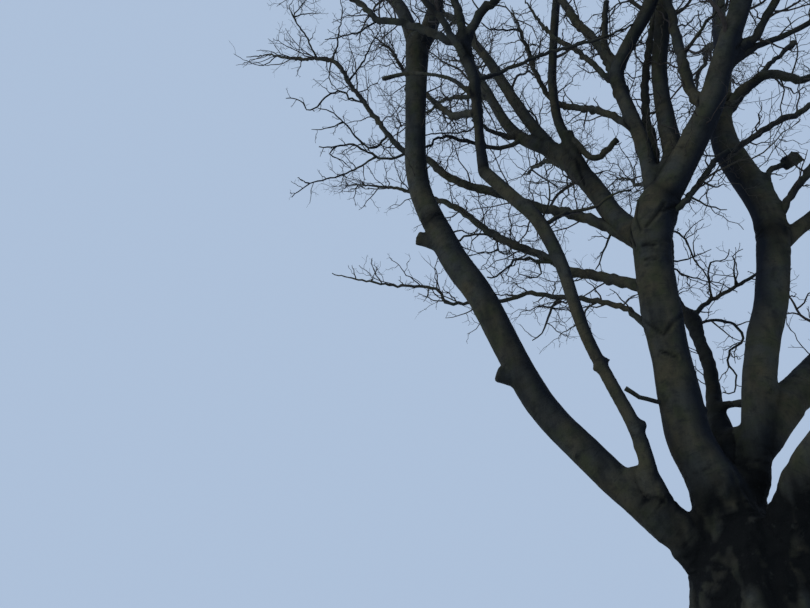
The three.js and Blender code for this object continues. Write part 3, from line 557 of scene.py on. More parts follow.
grow_stem("centre_wander", "centre_left", 0.76, 0.6,
    girth=(0.03, 0.029, 0.03, 0.029, 0.025, 0.022, 0.019, 0.013, 0.006),
    runs=[(0.47, 152, 57), (0.31, 132, 48), (0.42, 130, 47), (0.45, 136, 51), (0.33, 164, 70),
          (0.35, 146, 75), (0.4, 134, 80), (0.46, 147, 79), (0.6, 120, 70)])
grow_stem("upright", "upright", TIP, 1.15,
    girth=(0.042, 0.034, 0.022, 0.007), goal=(-1, 0.9, 11.3))
grow_stem("front_top", "centre_left", TIP, 1.15,
    girth=(0.046, 0.036, 0.022, 0.007), goal=(0.5, -2, 10.6))
grow_stem("front", "centre_left", 2.4, 1.15,
    girth=(0.04, 0.032, 0.02, 0.007), goal=(-0.3, -4, 8.5))
grow_stem("crown_top", "centre_back", TIP, 1.1,
    girth=(0.046, 0.036, 0.022, 0.007), goal=(0.2, -0.2, 11.7))
grow_stem("crown_right", "centre_back", 3.4, 1.15,
    girth=(0.038, 0.03, 0.02, 0.007), goal=(2.2, 0, 10.9))
grow_stem("front_right_top", "centre_right", TIP, 1.2,
    girth=(0.05, 0.038, 0.022, 0.007), goal=(2.9, -2.7, 9.6))
grow_stem("centre_upright", "centre_right", 0.82, 0.65, twigs=6,
    girth=(0.043, 0.041, 0.036, 0.033, 0.026, 0.016, 0.007),
    runs=[(0.24, 165, 71), (0.22, 179, 88), (0.22, -92, 85), (0.44, -55, 87), (0.7, -85, 72),
          (0.7, -70, 66)])
grow_stem("right_crossing", "centre", 2.2, 0.85,
    girth=(0.024, 0.023, 0.023, 0.024, 0.023, 0.021, 0.016, 0.007),
    runs=[(0.22, -16, 28), (0.18, 27, 44), (0.22, 34, 50), (0.26, 40, 52), (0.17, 30, 33),
          (0.45, 13, 27), (0.28, 14, 24), (0.7, 10, 34), (0.7, 4, 42)])
grow_stem("right_inner", "right_upper", 1.45, 0.85,
    girth=(0.062, 0.044, 0.032, 0.029, 0.026, 0.02, 0.014, 0.007),
    runs=[(0.26, 1, 38), (0.16, -9, 31), (0.16, 0, -7), (0.11, 0, -49), (0.17, 14, -11),
          (0.6, 12, 22), (0.6, 6, 40), (0.6, 0, 46)])
grow_stem("right_upright", "centre_right", 1.25, 0.9,
    girth=(0.032, 0.029, 0.028, 0.024, 0.016, 0.007),
    runs=[(0.18, 18, 22), (0.07, 0, 26), (0.13, 0, 57), (0.18, -15, 50), (0.7, -20, 52),
          (0.7, -12, 60)])
grow_stem("rear_top", "right_upper", TIP, 1.2,
    girth=(0.055, 0.04, 0.024, 0.007), goal=(1.1, 2.3, 10.8))
grow_stem("rear_high", "right_upper", 2.5, 1.2,
    girth=(0.04, 0.032, 0.02, 0.007), goal=(0.5, 4.2, 8.7))
grow_stem("right_outer", "right_outer", TIP, 1.2,
    girth=(0.046, 0.036, 0.022, 0.007), goal=(3.5, 1.9, 9.5))
grow_stem("right_rear", "right_rear", TIP, 1.2, twigs=8,
    girth=(0.046, 0.036, 0.022, 0.007), goal=(3, 3.2, 7.5))
grow_stem("right_front", "right_front", TIP, 1.2, twigs=8,
    girth=(0.05, 0.038, 0.022, 0.007), goal=(3.5, -2.3, 7.2))
grow_stem("right_front_side", "right_front", 2.1, 1.1,
    girth=(0.042, 0.032, 0.02, 0.007), goal=(1.9, -3.9, 6.6))
grow_stem("right_low", "right_low", TIP, 1.2, twigs=8,
    girth=(0.052, 0.038, 0.022, 0.007), goal=(4.3, 0.1, 7))
grow_stem("rear", "rear", TIP, 1.2, twigs=8,
    girth=(0.038, 0.03, 0.02, 0.007), goal=(-0.7, 3.5, 7.4))

# These are thinner limbs and cut or broken ends that the solids leave out. Each starts from a
# place inside a bough, and most end blunt, as pruned.
side_limbs = {}


def grow_side_limb(name, start, reach, girth, runs):
    notes = dict(parent=None, at=start, girth=girth, runs=runs, collar=0.35 * girth[0])
    side_limbs[name] = Limb(dict(notes, reach=reach), {})


grow_side_limb("side_centre_thin", (-0.22, -0.3, 5.57), 0.45,
    girth=(0.024, 0.024, 0.022, 0.018, 0.006),
    runs=[(0.27, 162, 62), (0.22, 150, 68), (0.31, 153, 65), (0.28, 155, 59), (0.27, 160, 65),
          (0.41, 152, 71), (0.35, 157, 74)])
grow_side_limb("side_centre_front", (-0.18, -0.32, 5.7), 0.3,
    girth=(0.033, 0.031, 0.027, 0.022),
    runs=[(0.27, -164, 74), (0.19, -55, 76), (0.29, -49, 71)])
grow_side_limb("side_right_front", (0.54, -0.54, 5.14), 0.35,
    girth=(0.025, 0.022, 0.019, 0.013, 0.006),
    runs=[(0.3, 22, 36), (0.19, 16, 22), (0.24, 12, 19), (0.4, 10, 30), (0.4, 4, 40)])
grow_side_limb("side_right_knob", (0.88, 0.46, 5.79), 0.16,
    girth=(0.024, 0.02, 0.019, 0.03),
    runs=[(0.18, 10, 47), (0.18, 24, 42), (0.19, 26, 40)])
grow_side_limb("side_right_short", (0.29, -0.44, 5.5), 0.25,
    girth=(0.015, 0.013, 0.011, 0.008),
    runs=[(0.16, -25, 25), (0.09, -36, 25), (0.18, -18, 24)])
grow_side_limb("side_right_knobbly", (0.66, 0.31, 4.57), 0.2,
    girth=(0.024, 0.022, 0.022, 0.016),
    runs=[(0.18, 28, 68), (0.11, 28, 30), (0.17, 28, 26)])
grow_side_limb("side_right_middle", (0.63, 0.28, 4.15), 0.45,
    girth=(0.028, 0.027, 0.025, 0.02),
    runs=[(0.2, -12, 62), (0.18, 10, 53), (0.23, 16, 48), (0.4, 20, 56), (0.4, 10, 62)])
grow_side_limb("side_left_hanging", (-0.77, 0.2, 5.64), 0.2,
    girth=(0.03, 0.029, 0.027, 0.027),
    runs=[(0.45, -29, -63), (0.13, -29, -39), (0.2, -17, 27)])
grow_side_limb("side_rear_low", (-0.11, 0.86, 3.79), 0.5,
    girth=(0.021, 0.019, 0.016, 0.013),
    runs=[(0.24, 31, 45), (0.36, 29, 30), (0.26, 26, 29)])
grow_side_limb("side_centre_stub", (-0.25, -0.07, 2.805), 0,
    girth=(0.018, 0.015, 0.014, 0.016),
    runs=[(0.15, -150, 14), (0.09, -152, 12), (0.09, -150, 28), (0.07, -146, 44)])

# The longer twigs of the near side of the crown, where the photo shows them one by one: the limb
# that each leaves, how far along it, the radius at its foot, and its runs.
LONG_TWIG_REACH = 0.42
long_twigs = {}


def grow_long_twig(name, parent, at, foot, *runs):
    notes = dict(parent=parent, at=at, girth=(foot, 0.8 * foot, 0.4 * foot), runs=runs)
    notes.update(collar=0.4 * foot, reach=LONG_TWIG_REACH)
    long_twigs[name] = Limb(notes, {**boughs, **stems, **side_limbs, **long_twigs})


grow_long_twig("upper_left_hook", "twigs_left_far", 4.95, 0.012,
    (0.24, -1, 79), (0.24, -38, 71), (0.2, -42, 52), (0.13, -76, 49))
grow_long_twig("upper_left_fork", "twigs_left_far", 5.26, 0.012,
    (0.34, -122, 59), (0.27, -110, 44), (0.28, -8, 32))
grow_long_twig("upper_left_fork_side", "upper_left_fork", 0.61, 0.008,
    (0.18, 23, 13), (0.16, 23, -1))
grow_long_twig("upper_left_fork_tip", "upper_left_fork", 0.61, 0.007,
    (0.15, -108, 60), (0.13, 5, 51))
grow_long_twig("left_far_rising", "twigs_left_far", 4.5, 0.012,
    (0.22, 5, 48), (0.25, -15, 43), (0.17, -32, 22), (0.15, -26, 14))
grow_long_twig("front_outer_hanging", "twigs_front_left_outer", 1.08, 0.01,
    (0.22, -175, -13), (0.21, -162, -11), (0.13, -151, -13))
grow_long_twig("left_far_tip", "twigs_left_far", 6.14, 0.007,
    (0.21, -180, -17), (0.21, -148, 11), (0.23, -120, 10))
grow_long_twig("left_far_back", "twigs_left_far", 3.99, 0.012,
    (0.19, -164, 30), (0.16, -152, 48), (0.16, -161, -11), (0.19, -168, -47), (0.14, -155, -29),
    (0.11, -116, 48), (0.22, -153, 26))
grow_long_twig("left_far_down", "twigs_left_far", 4.98, 0.009,
    (0.21, 130, -53), (0.12, 70, -48), (0.1, 43, -39))
grow_long_twig("left_far_trailing", "twigs_left_far", 3.41, 0.013,
    (0.13, 160, -40), (0.14, -177, -18), (0.18, -136, 31), (0.13, -119, 39), (0.16, -122, 35),
    (0.16, -131, 34), (0.13, -151, 13))
grow_long_twig("left_far_trailing_side", "left_far_trailing", 0.71, 0.008,
    (0.17, -169, -11), (0.19, -161, 0))
grow_long_twig("left_middle_long", "twigs_left_far", 3.0, 0.015,
    (0.22, -171, -9), (0.17, -159, 19), (0.13, -145, 26), (0.16, -140, 22), (0.17, -154, -7),
    (0.19, -159, -3))
grow_long_twig("left_middle_long_back", "left_middle_long", 0.86, 0.008,
    (0.1, 168, -31), (0.15, 61, -6), (0.11, 53, -28))
grow_long_twig("left_middle_low", "left_middle_long", 0.39, 0.011,
    (0.19, -175, -19), (0.14, -167, -24), (0.21, -145, -30), (0.27, -135, -30), (0.22, -156, -41))
grow_long_twig("left_middle_low_fork", "left_middle_low", 0.8, 0.007,
    (0.08, -151, 26), (0.07, -154, 36))
grow_long_twig("crossing_rise", "twigs_left_crossing", 2.4, 0.009,
    (0.13, -125, 59), (0.11, -137, 58), (0.08, -131, 50))
grow_long_twig("crossing_rise_second", "twigs_left_crossing", 2.64, 0.009,
    (0.25, -115, 67), (0.14, -123, 47))
grow_long_twig("front_long_right", "bough_front_left_upper", 0.89, 0.017,
    (0.23, 24, 15), (0.12, 20, 20), (0.16, 8, 14), (0.15, 2, 3), (0.11, 5, -7), (0.16, 9, -1),
    (0.19, 17, 12), (0.19, 23, 24), (0.18, 21, 25))
grow_long_twig("upright_leaning", "twigs_centre_wander", 1.77, 0.016,
    (0.14, -139, 58), (0.18, -123, 71), (0.24, -100, 60), (0.16, -102, 49), (0.13, -116, 43),
    (0.16, -153, 7), (0.14, -160, 17), (0.13, -151, 45))
grow_long_twig("rear_level", "bough_left_rear_inner", 0.47, 0.024,
    (0.26, -165, -13), (0.14, -147, 0), (0.14, -132, 0), (0.23, -126, -5), (0.1, -127, -7),
    (0.11, -141, -22), (0.12, -163, -42), (0.1, -173, -35))
grow_long_twig("crossing_root", "bough_left_rear_inner", 0.54, 0.027,
    (0.16, -159, 12), (0.15, -153, 28), (0.12, -135, 20), (0.12, -125, 15))
grow_long_twig("rear_level_upper", "crossing_root", 0.48, 0.01,
    (0.11, -172, -34), (0.1, -165, -2), (0.21, -148, -7), (0.15, -142, -19), (0.18, -141, -26))
grow_long_twig("front_low_right", "bough_front_left_lower", 2.17, 0.017,
    (0.14, 23, 31), (0.15, 40, 29), (0.18, 30, 17), (0.14, 12, 26), (0.1, 5, 22), (0.09, 18, -1))
grow_long_twig("front_low_sprout", "bough_front_left_lower", 2.2, 0.008,
    (0.2, -13, 61), (0.14, -65, 74), (0.17, -89, 59))
grow_long_twig("middle_hanging", "twigs_left_middle", 1.05, 0.014,
    (0.18, -155, 4), (0.08, -145, 26), (0.14, -145, -12), (0.1, -146, -45), (0.11, -138, -45),
    (0.14, -131, -32))
grow_long_twig("middle_hook", "middle_hanging", 0.18, 0.008,
    (0.1, 94, -62), (0.07, -177, -18), (0.11, -150, 16), (0.07, -104, 44))
grow_long_twig("bend_sprout", "bough_left_lower", 3.29, 0.011,
    (0.24, 21, 26), (0.16, 41, 8), (0.09, 47, -39), (0.08, 89, -74), (0.05, 23, -36),
    (0.06, 12, -21), (0.09, -63, 39))
grow_long_twig("bend_sprout_upper", "bough_left_lower", 3.42, 0.008,
    (0.17, 22, 17), (0.12, 53, -4), (0.1, 26, 33))
grow_long_twig("bend_sprout_back", "bend_sprout", 0.57, 0.007,
    (0.07, -168, -17), (0.08, -165, 6), (0.12, -168, -5))
grow_long_twig("low_hanging", "twigs_left_low", 1.1, 0.011,
    (0.1, 156, -42), (0.1, 135, -35), (0.11, 140, -45), (0.13, -177, -37))
grow_long_twig("low_hanging_side", "low_hanging", 0.1, 0.007,
    (0.06, 41, -4), (0.07, 43, 7), (0.07, 62, -15))
grow_long_twig("rear_hanging", "twigs_left_far", 0.52, 0.01,
    (0.19, 167, -53), (0.07, 132, -49), (0.09, 154, -47))
grow_long_twig("crossing_side", "twigs_right_crossing", 0.58, 0.008,
    (0.1, 36, -20), (0.1, 32, 14))
grow_long_twig("crossing_side_low", "twigs_right_crossing", 0.39, 0.008,
    (0.14, 47, -18), (0.11, 49, 0), (0.09, 41, -3))
grow_long_twig("rear_up", "side_rear_low", 0.33, 0.009,
    (0.18, -71, 75), (0.08, 0, 79), (0.07, -3, 65), (0.09, 32, 10), (0.07, 20, 21), (0.08, -38, 61))
grow_long_twig("rear_up_right", "side_rear_low", 0.62, 0.008,
    (0.13, -72, 70), (0.12, -15, 81), (0.07, -3, 51), (0.05, 16, 18))
grow_long_twig("rear_arch", "bough_rear", 3.5, 0.011,
    (0.15, 36, -12), (0.23, 74, -39), (0.15, 60, -57), (0.2, 34, -63), (0.12, 15, -33),
    (0.12, 26, -32))
grow_long_twig("rear_arch_side", "rear_arch", 0.29, 0.007,
    (0.09, -103, 73), (0.23, 28, 46), (0.1, 19, 22))
grow_long_twig("rear_across", "bough_rear", 2.94, 0.009,
    (0.16, 42, 10), (0.12, 47, 26), (0.14, 34, 25), (0.12, 26, 20))
grow_long_twig("rear_across_up", "rear_across", 0.34, 0.006,
    (0.07, -77, 76), (0.09, -11, 78), (0.1, 25, 48))
grow_long_twig("rear_bow", "bough_rear", 2.84, 0.01,
    (0.12, 48, -19), (0.14, 58, -7), (0.2, 43, -5), (0.14, 35, -27))
grow_long_twig("rear_low_right", "bough_rear", 1.77, 0.013,
    (0.17, 22, 16), (0.09, 40, 6), (0.12, 44, -6), (0.08, 48, -35), (0.1, 86, -69),
    (0.15, -151, -33), (0.12, -171, -72), (0.14, 56, -73), (0.12, 155, -68), (0.09, -160, -12))


def rooted_form(limb):
    """The foot of a slender limb, which fuses with the bough and ends inside its own tube."""
    distances = np.linspace(0, STEM_ROOT, 8)
    flare = 0.6 * limb.radius(0.0) * np.exp(-distances / 0.07)
    radii = limb.radius(distances) * np.linspace(1.0, 0.8, 8) + flare
    return tubes(limb.course.at(distances)[0][None], radii[None], 16)


for limb in itertools.chain(stems.values(), side_limbs.values()):
    if limb.radius(0.0) > ROOTED_RADIUS:
        wood_forms.append(rooted_form(limb))

# The knobbly limb ends in a bulb and a clump of small burrs, where it was cut again and again.
CLUMP_BURRS = 16
clump_random = np.random.default_rng(3)
knobbly = side_limbs["side_right_knobbly"]
wood_forms.append(knob_form(knobbly, (0.76 * knobbly.length, 28, 24, 0.15, 0.04)))
for distance in np.linspace(0.7, 1.0, CLUMP_BURRS) * knobbly.length:
    turn, rise = clump_random.uniform((-180, -75), (180, 75))
    length, radius = clump_random.uniform((0.055, 0.011), (0.09, 0.017))
    wood_forms.append(knob_form(knobbly, (distance, turn, rise, length, radius)))


# The wood's skin: trunk, boughs and the feet of the slender limbs are fused in one voxel skin,
# smoothed as new bark smooths a fork, and given the relief of old bark: long swellings, wrinkles
# across the limbs, folds where limbs press together, a hollowed fork, and burrs.
WOOD_VOXEL = 0.018
SMOOTHING_ROUNDS = 5
FILLING_ROUNDS = 18
TRUNK_FILLING_ROUNDS = 70
SAMPLE_STEP = 0.03
SPLIT_HEIGHT = 4.6
# The fork, where the old bark is roughest: its height, and how far it reaches up and out.
FORK_HEIGHT = 1.82
FORK_RISE = 0.5
FORK_SPREAD = 0.62
# The side that the bark is painted lighter on, as painted light, with painted shade on the other
# side, a heading and a rise: one way on most of the tree, and another on the upright boughs of its
# right side.
PAINTED_LIGHT_SIDE = (-142, 18)
RIGHT_PAINTED_LIGHT_SIDE = (-20, 12)
# Limbs whose bark is painted darker than the rest, as painted shade, and made rougher, and one
# that is painted paler, as painted light, by how much.
LIMB_PAINTED_SHADE = {
    "bough_rear": 0.55, "bough_upright": 0.2, "bough_left_rear_inner": 0.15,
    "bough_left_lower": 0.14, "bough_right_lower": 0.1, "bough_right_rear": 0.1,
    "bough_left_upper": -0.25, "bough_front_left_upper": 0.3, "bough_centre_back": 0.2,
    "bough_left_rear": 0.12, "bough_left_rear_outer": 0.2, "bough_centre_left": 0.08,
}
LIMB_STEP = 7.0
LIMB_MARGIN = 0.12
CROTCH_WIDTH = 0.06
FOLD_MARGIN = 0.08
FOLD_WIDTH = 0.013
RIM_AWAY = 0.03
RIM_WIDTH = 0.014
# Burrs and a hollow on the trunk: a centre, a size, how far they stand out, and their rings.
BURRS = [
    ((-0.27, -0.34, 1.68), 0.07, 0.022, 0.004),
    ((-0.18, -0.38, 1.87), 0.075, -0.04, 0),
    ((-0.05, -0.42, 1.6), 0.1, 0.014, 0.001),
    ((0.16, -0.4, 1.72), 0.12, 0.02, 0),
    ((0.3, -0.33, 1.4), 0.12, 0.018, 0.002),
    ((0.41, 0.1, 1.3), 0.12, 0.022, 0.003),
    ((-0.3, 0.33, 1.4), 0.13, 0.026, 0.003),
    ((0.08, 0.43, 1.62), 0.12, 0.024, 0),
    ((-0.12, -0.42, 0.95), 0.09, 0.014, 0.002),
    ((0.36, 0.25, 0.85), 0.1, 0.016, 0.002),
]
RING_SPACING = 0.055


def placed(name, data):
    """A new object in the scene, at the origin."""
    piece = bpy.data.objects.new(name, data)
    bpy.context.scene.collection.objects.link(piece)
    return piece


def mesh_object(name, points, *faces):
    mesh = bpy.data.meshes.new(name)
    mesh.from_pydata(points.tolist(), [], [row for group in faces for row in group.tolist()])
    mesh.shade_smooth()
    return placed(name, mesh)


def joined(forms):
    """Points, quads and caps of many forms as one, caps grouped by their number of corners."""
    points = []
    faces = {}
    first = 0
    for form_points, quads, caps in forms:
        faces.setdefault(4, []).append(quads + first)
        faces.setdefault(caps.shape[1], []).append(caps + first)
        points.append(form_points)
        first += len(form_points)
    return (np.concatenate(points), *[np.concatenate(rows) for rows in faces.values()])


def ramp(values, start, width):
    """From 0 at a start to 1 a width further on. A negative width makes it fall with the value."""
    return np.clip((values - start) / width, 0, 1)


def bell(distances, size, power=2):
    """From 1 at no distance towards 0 beyond a size, the more abruptly the higher the power."""
    return np.exp(-((distances / size) ** power))


def value_noise(places, size, seed):
    """Smooth noise from -1 to 1 at N places, with lumps of about a size, in metres."""
    spot = places / size
    cell = np.floor(spot).astype(np.int64)
    share = spot - cell
    share = share * share * (3 - 2 * share)
    total = np.zeros(len(places))
    for corner in itertools.product((0, 1), repeat=3):
        x, y, z = (cell + np.array(corner)).T
        mixed = (x * 73856093) ^ (y * 19349663) ^ (z * 83492791) ^ (seed * 40503)
        mixed = ((mixed ^ (mixed >> 13)) * 1274126177) & 0xFFFFFFFF
        value = ((mixed ^ (mixed >> 15)) & 0xFFFF) / 32767.5 - 1
        total += value * np.where(corner, share, 1 - share).prod(axis=1)
    return total


def corner_means(edges, values):
    """The mean of each corner's neighbours along the edges."""
    ends = np.concatenate([edges, edges[:, ::-1]])
    count = np.bincount(ends[:, 0], minlength=len(values))
    sums = [np.bincount(ends[:, 0], weights=values[ends[:, 1], k], minlength=len(values))
            for k in range(values.shape[1])]
    return np.stack(sums, axis=-1) / np.maximum(count, 1)[:, None]


def read_corners(mesh):
    places = np.empty(3 * len(mesh.vertices))
    mesh.vertices.foreach_get("co", places)
    return places.reshape(-1, 3)


def read_normals(mesh):
    normals = np.empty(3 * len(mesh.vertices))
    mesh.vertex_normals.foreach_get("vector", normals)
    return normals.reshape(-1, 3)


def add_layer(mesh, name, values):
    """Keeps a number or a vector for each corner, which the bark reads by its name."""
    kind, key = ("FLOAT", "value") if values.ndim == 1 else ("FLOAT_VECTOR", "vector")
    mesh.attributes.new(name, kind, "POINT").data.foreach_set(key, values.ravel())


def limb_places(corners, limbs):
    """For each corner: how far it is across, up from and along its nearest limb, and how far it
    is from the surface of the next one."""
    nearest = np.full(len(corners), np.inf)
    next_one = np.full(len(corners), 1.0)
    along = np.zeros((len(corners), 3))
    for number, (points, radii, ahead, sides, distances) in enumerate(limbs):
        low = points.min(axis=0) - radii.max() - LIMB_MARGIN
        high = points.max(axis=0) + radii.max() + LIMB_MARGIN
        close = np.flatnonzero(((corners > low) & (corners < high)).all(axis=1))
        if len(close) == 0:
            continue
        away = np.linalg.norm(corners[close, None] - points[None], axis=-1)
        pick = (away - radii).argmin(axis=1)
        surface = away[np.arange(len(close)), pick] - radii[pick]
        spoke = corners[close] - points[pick]
        beyond = (spoke * ahead[pick]).sum(axis=1)
        across = (spoke * sides[pick]).sum(axis=1)
        upward = (spoke * np.cross(ahead[pick], sides[pick])).sum(axis=1)
        place = np.stack([across, upward, distances[pick] + beyond + LIMB_STEP * number], axis=-1)
        better = surface < nearest[close]
        next_one[close] = np.where(better, nearest[close], np.minimum(next_one[close], surface))
        nearest[close] = np.where(better, surface, nearest[close])
        along[close[better]] = place[better]
    return along, np.clip(next_one, -0.1, 1.0)


def samples(limb, start, end):
    """A limb's points, radii, tangents, side directions and distances, closely spaced."""
    distances = np.linspace(start, end, max(3, round((end - start) / SAMPLE_STEP)))
    points, ahead, sides = limb.course.at(distances)
    return points, limb.radius(distances), ahead, sides, distances


def trunk_samples():
    heights = np.arange(0, DOME_HEIGHT - 0.3, 0.04)
    points = np.stack([TRUNK_LEAN * heights, 0 * heights, heights], axis=-1)
    ahead = np.broadcast_to((0.0, 0.0, 1.0), points.shape)
    sides = np.broadcast_to((1.0, 0.0, 0.0), points.shape)
    return points, trunk_radius(heights, 1.0), ahead, sides, heights


def fused_wood():
    """All of the wood's forms as one closed voxel skin."""
    rough = mesh_object("wood_rough", *joined(wood_forms))
    skin = rough.modifiers.new("skin", "REMESH")
    skin.mode = "VOXEL"
    skin.voxel_size = WOOD_VOXEL
    depsgraph = bpy.context.evaluated_depsgraph_get()
    mesh = bpy.data.meshes.new_from_object(rough.evaluated_get(depsgraph))
    bpy.data.objects.remove(rough)
    return mesh


def reshaped(mesh, places):
    """Moves a mesh's corners, and gives the normals that they have there."""
    mesh.vertices.foreach_set("co", places.ravel())
    mesh.update()
    return read_normals(mesh)


def line_distances(places, chains):
    """How far each place is from each segment of a chain of starts and spans."""
    starts, spans = chains[:2]
    offset = places[:, None] - starts[None]
    share = (offset * spans).sum(axis=-1) / (spans * spans).sum(axis=-1)
    return np.linalg.norm(offset - np.clip(share, 0, 1)[..., None] * spans, axis=-1)


def bark_line(limb, distances, outward):
    """A line on a limb's bark, at distances along it and directions away from its middle."""
    point, tangent, _ = limb.course.at(distances)
    spoke = unit(outward - (tangent * outward).sum(axis=1)[:, None] * tangent)
    return point + limb.radius(distances)[:, None] * spoke


def fold_over(parent, place, child):
    """The fold of bark over a joint: from the crotch down both sides of the smaller limb."""
    share = np.linspace(-1, 1, 13)
    radius = float(parent.radius(place))
    thick = float(child.radius(0.1))
    _, tangent, _ = parent.course.at(place)
    outward = child.course.at(0.15)[1]
    lean = np.clip(math.acos(tangent @ outward), 0.35, 1.3)
    apex = place + min((radius + thick / math.cos(lean)) / math.tan(lean), 0.5)
    distances = apex - 2.2 * thick / math.sin(lean) * np.abs(share) ** 1.2
    turn = (share * (math.asin(min(0.95, thick / radius)) + 0.6))[:, None]
    side = unit(outward - (tangent @ outward) * tangent)
    around = np.cos(turn) * side + np.sin(turn) * np.cross(tangent, side)
    return bark_line(parent, distances, around)


# Each limb that leaves a bough pushes up a fold of bark there. At the slender front bough it is
# one groove, down between its foot and the left bough. Older folds stay on the front of the
# centre bough: distances along it, and headings.
FRONT_GROOVE = np.array([(-0.567, -0.21, 2.335), (-0.52, -0.2, 2.265), (-0.468, -0.2, 2.19)])
OLD_FOLDS = [
    [(1.55, -177), (1.44, -129), (1.35, -92), (1.41, -69), (1.49, -20)],
    [(1.24, -114), (1.21, -92), (1.18, -72)],
    [(1.93, -108), (1.925, -76)],
    [(2.04, -108), (2.03, -76)],
    [(2.36, -60), (2.26, -75), (2.17, -100)],
    [(2.4, -150), (2.25, -140), (2.15, -115)],
]
folds = []
for limb in itertools.chain(boughs.values(), stems.values()):
    parent = boughs.get(limb.notes["parent"])
    place = limb.notes["at"]
    if limb is boughs["bough_front_left_lower"]:
        folds.append(FRONT_GROOVE)
    elif parent is not None and (place > 0 or place < -0.2):
        folds.append(fold_over(parent, place % parent.length, limb))
for fold in OLD_FOLDS:
    distances = np.array([place for place, _ in fold])
    headings = np.array([direction(heading, 0) for _, heading in fold])
    folds.append(bark_line(boughs["bough_centre"], distances, headings))

wood = fused_wood()
wood_edges = np.empty(2 * len(wood.edges), dtype=np.int32)
wood.edges.foreach_get("vertices", wood_edges)
wood_edges = wood_edges.reshape(-1, 2)
corners = read_corners(wood)
for turn in range(2 * SMOOTHING_ROUNDS):
    strength = 0.5 if turn % 2 == 0 else -0.45
    corners += strength * (corner_means(wood_edges, corners) - corners)

# Crotches are filled: a corner that lies lower than its neighbours there rises to them, for more
# rounds on the trunk than above it.
limb_samples = [trunk_samples()]
limb_samples += [samples(limb, 0, limb.length) for limb in boughs.values()]
for limb in itertools.chain(stems.values(), side_limbs.values()):
    limb_samples.append(samples(limb, 0.06, STEM_ROOT))
along, next_limb = limb_places(corners, limb_samples)
crotch = np.exp(-np.maximum(next_limb, 0) / CROTCH_WIDTH)
normals = reshaped(wood, corners)
for turn in range(TRUNK_FILLING_ROUNDS):
    filled = crotch
    if turn >= FILLING_ROUNDS:
        filled = crotch * ramp(corners[:, 2], DOME_HEIGHT, -0.15)
    lift = ((corner_means(wood_edges, corners) - corners) * normals).sum(axis=1)
    corners += (filled * np.maximum(lift, 0))[:, None] * normals
    if turn % 10 == 9:
        normals = reshaped(wood, corners)

# A fold is a narrow groove, with a low rim of bark beside it.
folded = np.zeros(len(corners))
rimmed = np.zeros(len(corners))
for fold in folds:
    low = fold.min(axis=0) - FOLD_MARGIN
    high = fold.max(axis=0) + FOLD_MARGIN
    close = np.flatnonzero(((corners > low) & (corners < high)).all(axis=1))
    if len(close):
        spans = np.diff(fold, axis=0)
        away = line_distances(corners[close], (fold[:-1], spans)).min(axis=1)
        folded[close] = np.maximum(folded[close], bell(away, FOLD_WIDTH))
        rimmed[close] = np.maximum(rimmed[close], bell(away - RIM_AWAY, RIM_WIDTH))

# Where the bark is old: on the fork and the trunk, less on the foot of the left bough. Its
# hollows run down the wood.
spread = np.hypot(corners[:, 0], corners[:, 1])
fork = bell(corners[:, 2] - FORK_HEIGHT, FORK_RISE, 4) * bell(spread, FORK_SPREAD, 6)
left_foot = ramp(corners[:, 0], -0.16, -0.26) * ramp(corners[:, 2], 1.6, 0.25)
trunk_bark = ramp(corners[:, 2], 2.3, -0.5) * bell(spread, 0.75, 8)
rough = np.maximum(fork, 0.5 * trunk_bark)
deep = np.maximum(0.9 * trunk_bark, fork) * (1 - 0.65 * left_foot)
downward = corners * (1.0, 1.0, 0.42)
hollows = 1.7 * value_noise(downward, 0.085, 17) + 1.2 * value_noise(downward, 0.036, 18)
hollows = np.clip(hollows, -1, 1)
# The relief, in metres along the normals: noise of one size after another, weaker on thin wood.
big_wood = np.clip((np.hypot(along[:, 0], along[:, 1]) - 0.03) / 0.11, 0.2, 1)
wrinkle_at = along * (1.0, 1.0, 3.4)
relief = 0.008 * big_wood * value_noise(corners, 0.32, 1)
relief += 0.0035 * big_wood * value_noise(corners, 0.12, 2)
wrinkled = np.clip(value_noise(corners, 0.24, 3) + 1.1 * crotch + 0.7 * rough, 0, 1.3)
creases = bell(value_noise(wrinkle_at, 0.17, 4), 0.16)
creases *= np.clip(0.5 + value_noise(corners, 0.1, 8), 0, 1)
relief -= 0.006 * wrinkled * big_wood * creases
relief += 0.003 * wrinkled * big_wood * value_noise(wrinkle_at, 0.08, 9)
relief += 0.016 * fork * value_noise(corners, 0.19, 6) - 0.009 * deep * hollows
relief += 0.014 * rough * value_noise(corners, 0.09, 5)
relief += 0.009 * rough * value_noise(corners, 0.045, 10)
limb_numbers = np.floor((along[:, 2] + 0.6) / LIMB_STEP).astype(int)
# Painted shade on the darker limbs, and painted light on the paler one; the darker ones are also
# rougher.
darker = np.zeros(len(corners))
for name, amount in LIMB_PAINTED_SHADE.items():
    darker[limb_numbers == 1 + list(boughs).index(name)] = amount
relief += 0.012 * np.maximum(darker, 0) * value_noise(corners, 0.055, 16)
relief += 0.004 * big_wood * rimmed - 0.008 * big_wood * folded
pale_burrs = np.zeros(len(corners))
for centre, size, height, ring in BURRS:
    away = np.linalg.norm(corners - np.array(centre), axis=1)
    wavy = away + 0.035 * value_noise(corners, 0.09, 7) + 0.012 * value_noise(corners, 0.04, 12)
    rings = ring * np.cos(wavy * math.tau / RING_SPACING) * bell(away, 1.2 * size)
    relief += height * bell(away, size) + rings
    creases = np.maximum(creases, np.clip(-180 * rings, 0, 1))
    pale_burrs = np.maximum(pale_burrs, 110 * ring * bell(away, 1.2 * size))
corners += (relief * ramp(corners[:, 2], 0, 0.05))[:, None] * normals
corners[:, 2] = np.maximum(corners[:, 2], 0)
normals = reshaped(wood, corners)
